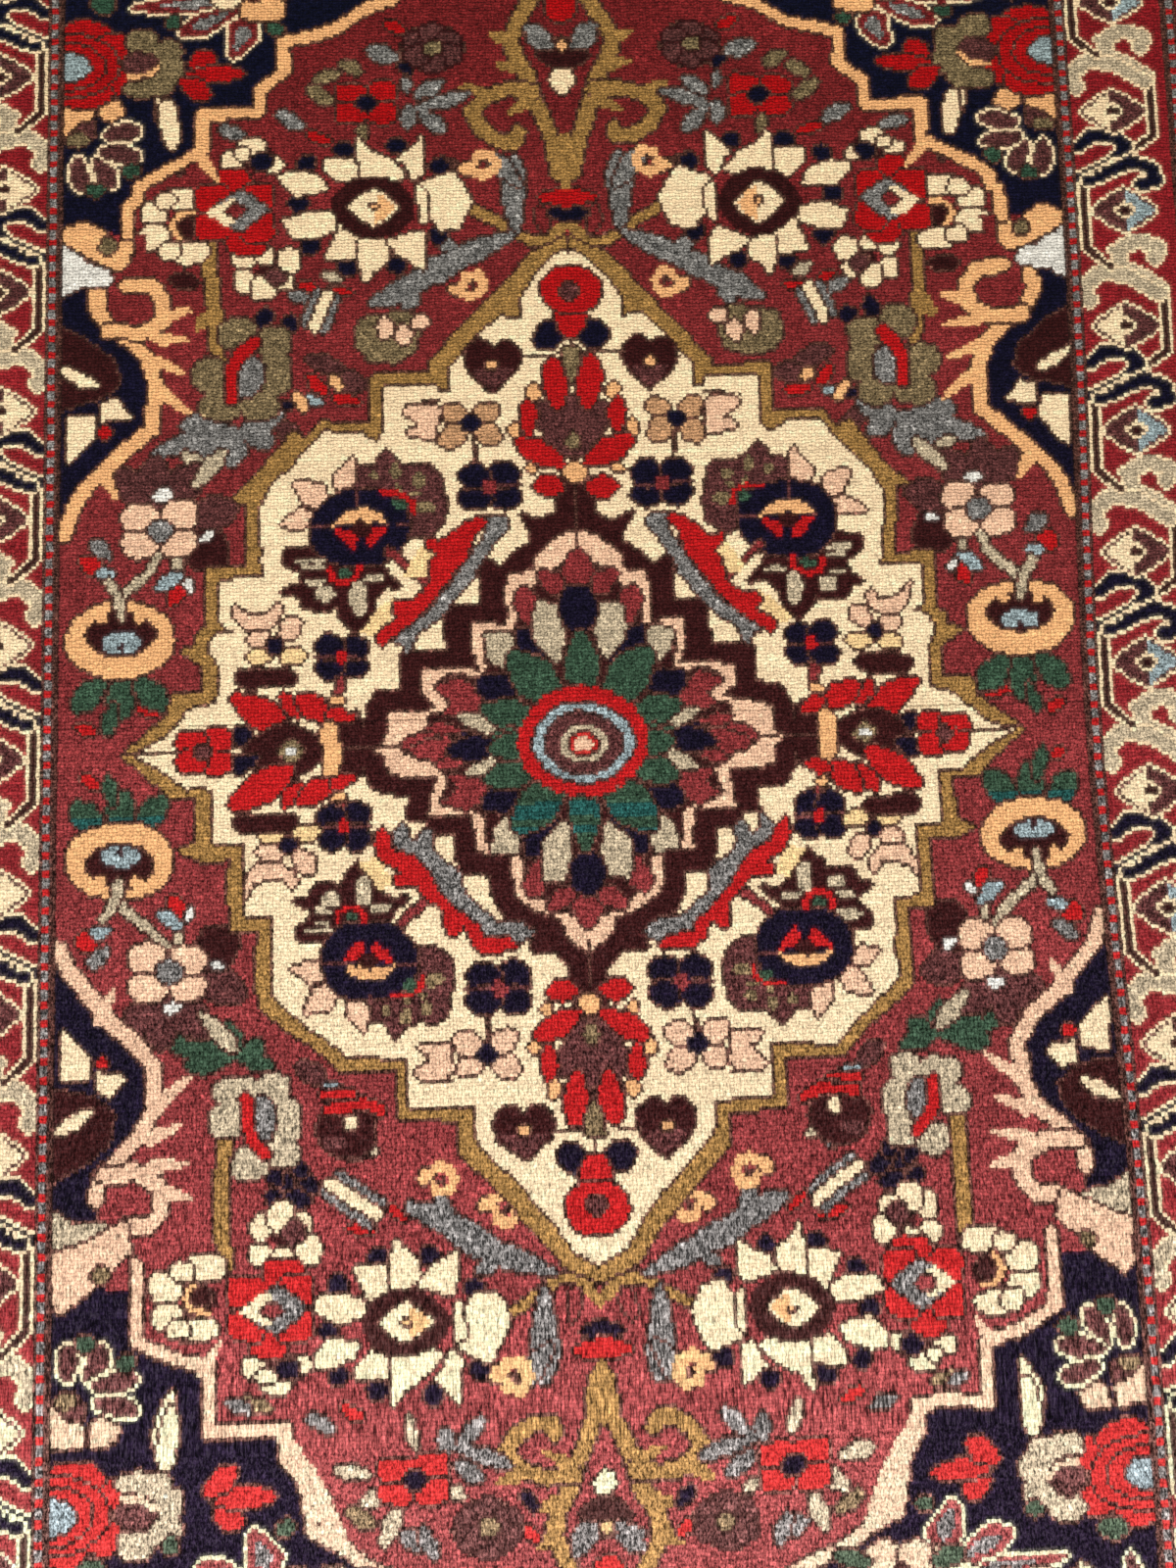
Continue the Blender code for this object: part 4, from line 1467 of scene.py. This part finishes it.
def set_dye(mesh, colours, mix):
    """Colour each face corner of a mesh; the fourth value is how mixed the fibres are."""
    full = np.ones((len(mesh.loops), 4), np.float32)
    full[:, :3] = colours
    full[:, 3] = mix
    attribute = mesh.attributes.new("yarn", "FLOAT_COLOR", "CORNER")
    attribute.data.foreach_set("color", full.ravel())


def add_piece(name, shell, material, slot, *nodes):
    """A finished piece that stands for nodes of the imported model."""
    mesh = bpy.data.meshes.new(name)
    shell.to_mesh(mesh)
    shell.free()
    mesh.materials.append(material)
    piece = bpy.data.objects.new(name, mesh)
    bpy.context.scene.collection.objects.link(piece)
    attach(piece, "root")
    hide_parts(*nodes)
    return piece


class Tufts:
    """The chart as dyed wool with painted sheen and light at its near end, and how each tuft strays,
    shared by all parts of the pile.
    """

    def __init__(self, settings, colours):
        chart = Chart()
        field_flowers(chart)
        medallion(chart)
        corners(chart)
        borders(chart)
        self.yarn = chart.whole()
        self.dyed, self.mix = dyed(self.yarn, colours)
        padded = np.pad(self.dyed, ((1, 1), (1, 1), (0, 0)), "edge")
        self.blend = (padded[1:, 1:] + padded[:-1, 1:] + padded[1:, :-1] + padded[:-1, :-1]) / 4
        dice = np.random.default_rng(TUFT_SEED)
        stray = dice.normal(0.0, 1.0, (3, PILE_ROWS + 1, COLUMNS + 1))
        self.stray = np.clip(stray, -MOST_STRAY, MOST_STRAY)
        self.settings = settings

    def dye(self, piece, spread):
        """Colour a piece made in knots, painted near-end light included: a tuft's rim takes a little
        colour from its neighbours.
        """
        mesh = piece.data
        knots = read_points(mesh)
        middles, totals = face_middles(mesh)
        row = np.repeat(np.clip(middles[:, 1], 0, PILE_ROWS - 1).astype(int), totals)
        column = np.repeat(np.clip(middles[:, 0], 0, COLUMNS - 1).astype(int), totals)
        corner = np.empty(len(mesh.loops), np.int32)
        mesh.loops.foreach_get("vertex_index", corner)
        at_row, at_column = knots[corner, 1], knots[corner, 0]
        own = self.dyed[row, column]
        near = self.blend[np.rint(at_row).astype(int), np.rint(at_column).astype(int)]
        set_dye(mesh, own + (near - own) * spread, self.mix[row, column])

    def place(self, points):
        """Knots to metres: each corner between tufts strays and sinks a little."""
        column, row, depth = points.T
        stray = self.stray[:, np.rint(row).astype(int), np.rint(column).astype(int)]
        x, y = on_rug(column, row)
        settings = self.settings
        inner = np.minimum.reduce((column, COLUMNS - column, row, PILE_ROWS - row))
        free = np.clip(inner, 0.0, 1.0)
        x += stray[0] * settings.tuft_stray * free
        y += stray[1] * settings.tuft_stray * free
        z = settings.pile_height + (stray[2] - MOST_STRAY) * settings.tuft_rise
        z -= settings.edge_round * np.clip(1.0 - inner / EDGE_TUFTS, 0.0, 1.0) ** 1.5
        z = np.where(depth < -0.5, WOVEN_TOP, np.minimum(z, settings.pile_height))
        return np.stack((x, y, z), axis=1)


def dyed(yarn, colours):
    """Each knot's colour: its yarn, mixed fibres, bands where a new batch was begun, and a paler,
    brighter near end, partly faded wool and partly painted sheen and light.
    """
    mixes, paling, near_light_gains = np.array([row[1:] for row in YARNS]).T
    shades = np.array([getattr(colours, row[0])[:] for row in YARNS])[yarn]
    mix = mixes[yarn]
    dice = np.random.default_rng(DYE_SEED)
    heather = dice.normal(0.0, 1.0, yarn.shape)
    rows = np.arange(yarn.shape[0])[:, None]
    streaks = dice.normal(0.0, 1.0, (yarn.shape[0], 8))
    columns = np.arange(yarn.shape[1])[None, :]
    batch = np.sin(rows / 23.0 + 1.2 * np.sin(columns / 41.0)) + np.sin(rows / 9.1 + 2.0)
    streak = streaks[rows, (columns * 8) // yarn.shape[1]]
    blotch = np.sin(rows / 5.3 + 2.0 * np.sin(columns / 17.0)) * np.sin(columns / 13.0 + rows / 31.0)
    tone = mix * 1.4 * heather + (0.5 * batch + blotch) * (0.02 + 0.16 * paling[yarn]) + 0.04 * streak
    along = rows / yarn.shape[0]
    worn_and_lit = 1.0 - along[..., None]
    # Towards the near end each yarn pales, partly faded wool and partly painted sheen.
    paled = shades + (np.array(colours.paled[:]) - shades) * worn_and_lit * paling[yarn][..., None]
    # Painted light: each yarn brighter and cooler towards the near end.
    paled *= 1.0 + (np.array(NEAR_PAINTED_LIGHT) + near_light_gains[yarn][..., None]) * worn_and_lit
    # Over the nearest part, paler and brighter again: painted sheen and light, with some fading.
    sheen_and_fade = np.clip((SHEEN_AND_FADE_START - along) / SHEEN_AND_FADE_REACH, 0.0, 1.0)[..., None]
    taken = SHEEN_AND_FADE_SHARE - NAVY_SPARED * (yarn == NAVY)[..., None]
    sheen_and_fade_shift = (np.array(SHEEN_AND_FADE_TINT) - paled) * taken
    paled += (sheen_and_fade_shift + paled * SHEEN_AND_FADE_GAIN) * sheen_and_fade
    return np.clip(paled * np.exp(tone)[..., None], 0.0, 0.95), mix


@lru_cache(maxsize=1)
def knotted(scene):
    """The knotted chart, worked out once and shared."""
    return Tufts(scene.rug.pile, scene.rug.colours)


def pile_piece(tufts, name, columns, rows, material):
    """One part of the pile, a face for the clipped top of each tuft, closed below."""
    shell = knot_grid(columns, rows)
    close_sheet(shell)
    piece = add_piece(name, shell, material, "pile_wool", "rug_cloth")
    knots = read_points(piece.data)
    tufts.dye(piece, tufts.settings.colour_spread)
    piece.data.shade_smooth()
    move_corners(piece.data, knots, tufts.place(knots))
    return piece


def move_corners(mesh, knots, points):
    """Move a mesh from knots to metres, and map it by its knots and by its size."""
    set_maps(mesh, knots[:, :2], points)
    mesh.vertices.foreach_set("co", points.astype(np.float32).ravel())
    mesh.update()


def woven_base(tufts, settings, material):
    """The base that the knots are tied on, with the design showing through underneath."""
    shell = knot_grid((0, COLUMNS), (0, PILE_ROWS), step=(2, 3))
    close_sheet(shell, 1.0)
    piece = add_piece("woven_base", shell, material, "pile_wool", "rug_cloth")
    knots = read_points(piece.data)
    tufts.dye(piece, 0.0)
    x, y = on_rug(knots[:, 0], knots[:, 1])
    dice = np.random.default_rng(BACK_SEED)
    ridge = dice.uniform(0.0, settings.back_relief, len(x))
    z = np.where(knots[:, 2] > 0.5, settings.base_thickness, ridge)
    points = np.stack((x, y, z), axis=1)
    move_corners(piece.data, knots, points)
    return piece


def woven_end(settings, end, material):
    """The flat-woven end past the last knots; end is -1 near and 1 far."""
    picks = settings.end_picks
    shell = knot_grid((0, COLUMNS), (0, 2 * picks))
    close_sheet(shell)
    if end < 0:
        bmesh.ops.reverse_faces(shell, faces=shell.faces)
    name = "woven_end_far" if end > 0 else "woven_end_near"
    piece = add_piece(name, shell, material, "woven_cotton", "rug_cloth")
    steps = read_points(piece.data)
    warp, pick, depth = np.round(steps).astype(int).T
    x = (steps[:, 0] - COLUMNS / 2) * KNOT_WIDTH
    out = steps[:, 1] / (2 * picks) * FLAT_WEAVE_LENGTH
    y = end * (PILE_HALF_LENGTH + out)
    crown = (pick % 2) * np.where((warp + pick // 2) % 2 == 0, 1.0, -0.6)
    dice = np.random.default_rng(END_SEED + end)
    wave = dice.normal(0.0, 0.04, len(x))
    thick = settings.base_thickness * (0.86 + 0.14 * crown + wave * 0.5)
    fray = (out > FLAT_WEAVE_LENGTH - 0.01) * np.abs(wave) * 6.0
    y -= end * fray
    z = np.where(depth < 0, 0.0, np.minimum(thick, settings.base_thickness))
    points = np.stack((drawn_in(x, y) * METRE, y * METRE, z), axis=1)
    set_dye(piece.data, settings.woven_colour[:], 0.1)
    move_corners(piece.data, steps / (1, 2, 1), points)
    return piece


def side_cord(settings, side, material):
    """The overcast cord of one long side: wool wrapped round and round it."""
    sides, rings = settings.cord_sides, settings.cord_wraps * RINGS_A_WRAP
    shell = bmesh.new()
    bmesh.ops.create_grid(shell, x_segments=sides, y_segments=rings, size=0.5)
    bmesh.ops.translate(shell, vec=Vector((0.5, 0.5, 0.0)), verts=shell.verts)
    maps = [shell.loops.layers.uv.new(name) for name in ("OFBake", "knots")]
    width, height = CORD_HIGH[0] - CORD_LOW[0], CORD_HIGH[2] - CORD_LOW[2]
    for face in shell.faces:
        for loop in face.loops:
            for layer in maps:
                loop[layer].uv = loop.vert.co.x * GIRTH_ON_MAP, loop.vert.co.y
    half = PILE_HALF_LENGTH
    for corner in shell.verts:
        turn, share = corner.co.x, corner.co.y
        angle = 2 * math.pi * turn
        wrap = math.sin(math.pi * (share * settings.cord_wraps + turn)) ** 2
        tip = min(share, 1.0 - share) * 2 * half / CORD_TAPER
        radius = 0.5 * (0.90 + 0.10 * wrap) * (0.7 + 0.3 * min(tip, 1.0))
        y = (2 * share - 1) * half
        middle = float(drawn_in(side * CLOTH_HIGH[0] / METRE, y)) * METRE
        middle += side * (CORD_GAP + width / 2)
        corner.co = (middle + math.cos(angle) * radius * width, y * METRE,
                     height * (0.5 + radius * math.sin(angle)))
    bmesh.ops.remove_doubles(shell, verts=shell.verts, dist=1e-7)
    bmesh.ops.holes_fill(shell, edges=shell.edges, sides=0)
    bmesh.ops.recalc_face_normals(shell, faces=shell.faces)
    node = "side_cord_left" if side < 0 else "side_cord_right"
    piece = add_piece("overcast_" + node, shell, material, "cord_wool", node)
    piece.data.shade_smooth()
    _, totals = face_middles(piece.data)
    wraps = (np.arange(len(totals)) // sides) // RINGS_A_WRAP
    dice = np.random.default_rng(CORD_SEED + side)
    tone = np.repeat(dice.normal(1.0, 0.10, wraps.max() + 1)[wraps], totals)
    set_dye(piece.data, tone[:, None] * np.array(settings.cord_colour[:]), 0.12)
    return piece


# ----------------------------------------------------------------- operators


class RUG_OT_pile(bpy.types.Operator):
    """Knot the pile in six parts: two for the field and four for the borders."""

    bl_idname = "rug.pile"
    bl_label = "Knotted pile"

    def execute(self, context):
        tufts = knotted(context.scene)
        material = pile_finish()
        side = (COLUMNS - FIELD_COLUMNS) // 2
        field = (side, COLUMNS - side)
        ends = row_heights()
        near, far = (int(np.argmin(np.abs(ends - y)))
                     for y in (-HALF_FIELD_LENGTH, HALF_FIELD_LENGTH))
        middle = (near + far) // 2
        for name, columns, rows in (
                ("pile_field_near", field, (near, middle)),
                ("pile_field_far", field, (middle, far)),
                ("pile_border_left", (0, side), (0, PILE_ROWS)),
                ("pile_border_right", (COLUMNS - side, COLUMNS), (0, PILE_ROWS)),
                ("pile_border_near", field, (0, near)),
                ("pile_border_far", field, (far, PILE_ROWS))):
            pile_piece(tufts, name, columns, rows, material)
        return {"FINISHED"}


class RUG_OT_base(bpy.types.Operator):
    bl_idname = "rug.base"
    bl_label = "Woven base and ends"

    def execute(self, context):
        weave = context.scene.rug.weave
        tufts = knotted(context.scene)
        material = woven_finish()
        base = woven_base(tufts, weave, material)
        ends = [woven_end(weave, end, material) for end in (-1, 1)]
        return {"FINISHED"}


class RUG_OT_cords(bpy.types.Operator):
    """Wrap the cord of each long side."""

    bl_idname = "rug.cords"
    bl_label = "Overcast side cords"

    def execute(self, context):
        material = cord_finish()
        for side in (-1, 1):
            side_cord(context.scene.rug.weave, side, material)
        return {"FINISHED"}


def area_lamp(name, power, size, place, aim):
    """A soft rectangular light that faces a point."""
    lamp = bpy.data.lights.new(name, "AREA")
    lamp.shape = "RECTANGLE"
    lamp.size, lamp.size_y = size
    lamp.energy = power
    holder = bpy.data.objects.new(name, lamp)
    holder.location = place
    holder.rotation_euler = (Vector(aim) - Vector(place)).to_track_quat("-Z", "Y").to_euler()
    bpy.context.scene.collection.objects.link(holder)
    return holder


class RUG_OT_stage(bpy.types.Operator):
    """Lay the floor, hang the lights and set the camera over the rug."""

    bl_idname = "rug.stage"
    bl_label = "Floor, light and camera"

    def execute(self, context):
        settings = context.scene.rug.stage
        add_floor(settings)
        area_lamp("key_light", settings.key_power, KEY_SIZE, KEY_PLACE, (0, 0, 0))
        world = bpy.data.worlds.new("studio")
        world.use_nodes = True
        background = world.node_tree.nodes["Background"]
        background.inputs["Color"].default_value = ROOM_TINT
        background.inputs["Strength"].default_value = settings.fill_strength
        context.scene.world = world
        context.scene.view_settings.view_transform = "Standard"
        add_camera(settings)
        return {"FINISHED"}


def add_floor(settings):
    """A plain pale floor that runs far past the rug."""
    ground = bmesh.new()
    bmesh.ops.create_grid(ground, x_segments=1, y_segments=1, size=FLOOR_REACH)
    mesh = bpy.data.meshes.new("floor")
    ground.to_mesh(mesh)
    ground.free()
    floor = bpy.data.objects.new("floor", mesh)
    bpy.context.scene.collection.objects.link(floor)
    material, tree, shader = wool_material("floor_plain", 0.0, 0.7)
    place = add_node(tree, "ShaderNodeTexCoord", None, (), 3)
    cloud = noise(tree, place, 3.0, 3.0)
    tone = grey(tree, 0.98 + 0.04 * cloud)
    colour = mixed(tree, 1.0, tone, (*settings.floor_colour, 1.0), "MULTIPLY")
    tree.links.new(colour.socket, shader.inputs["Base Color"])
    mesh.materials.append(material)


def add_camera(settings):
    """The camera of the photograph: nearly overhead, a little below the middle."""
    lens = bpy.data.cameras.new("camera")
    lens.lens = FOCAL_LENGTH
    lens.sensor_width = FRAME_LENGTH
    lens.clip_start = NEAREST_SEEN
    camera = bpy.data.objects.new("camera", lens)
    look = Vector(CAMERA_LOOK).normalized()
    up = Vector(CAMERA_UP)
    right = look.cross(up).normalized()
    up = right.cross(look)
    turn = Matrix((right, up, -look)).transposed()
    place = Matrix.Translation((*CAMERA_OVER, settings.camera_height))
    camera.matrix_world = place @ turn.to_4x4()
    bpy.context.scene.collection.objects.link(camera)
    bpy.context.scene.camera = camera


class RUG_PT_panel(bpy.types.Panel):
    """The rug's steps, in the sidebar of the 3D view."""

    bl_idname = "RUG_PT_panel"
    bl_label = "Rug"
    bl_space_type = "VIEW_3D"
    bl_region_type = "UI"
    bl_category = "Rug"

    def draw(self, context):
        for step in STEPS:
            self.layout.operator(step.bl_idname)


STEPS = (RUG_OT_pile, RUG_OT_base, RUG_OT_cords, RUG_OT_stage)
CLASSES = (YarnColours, PileSettings, WeaveSettings, StageSettings, RugSettings, *STEPS, RUG_PT_panel)


def register():
    """Register the settings, the operators and the panel."""
    for entry in CLASSES:
        bpy.utils.register_class(entry)
    bpy.types.Scene.rug = PointerProperty(type=RugSettings)


def unregister():
    """Take them out again."""
    del bpy.types.Scene.rug
    for entry in reversed(CLASSES):
        bpy.utils.unregister_class(entry)


def main():
    """Build the rug and its stage."""
    register()
    bpy.ops.rug.pile()
    bpy.ops.rug.base()
    bpy.ops.rug.cords()
    bpy.ops.rug.stage()


if __name__ == "__main__":
    main()
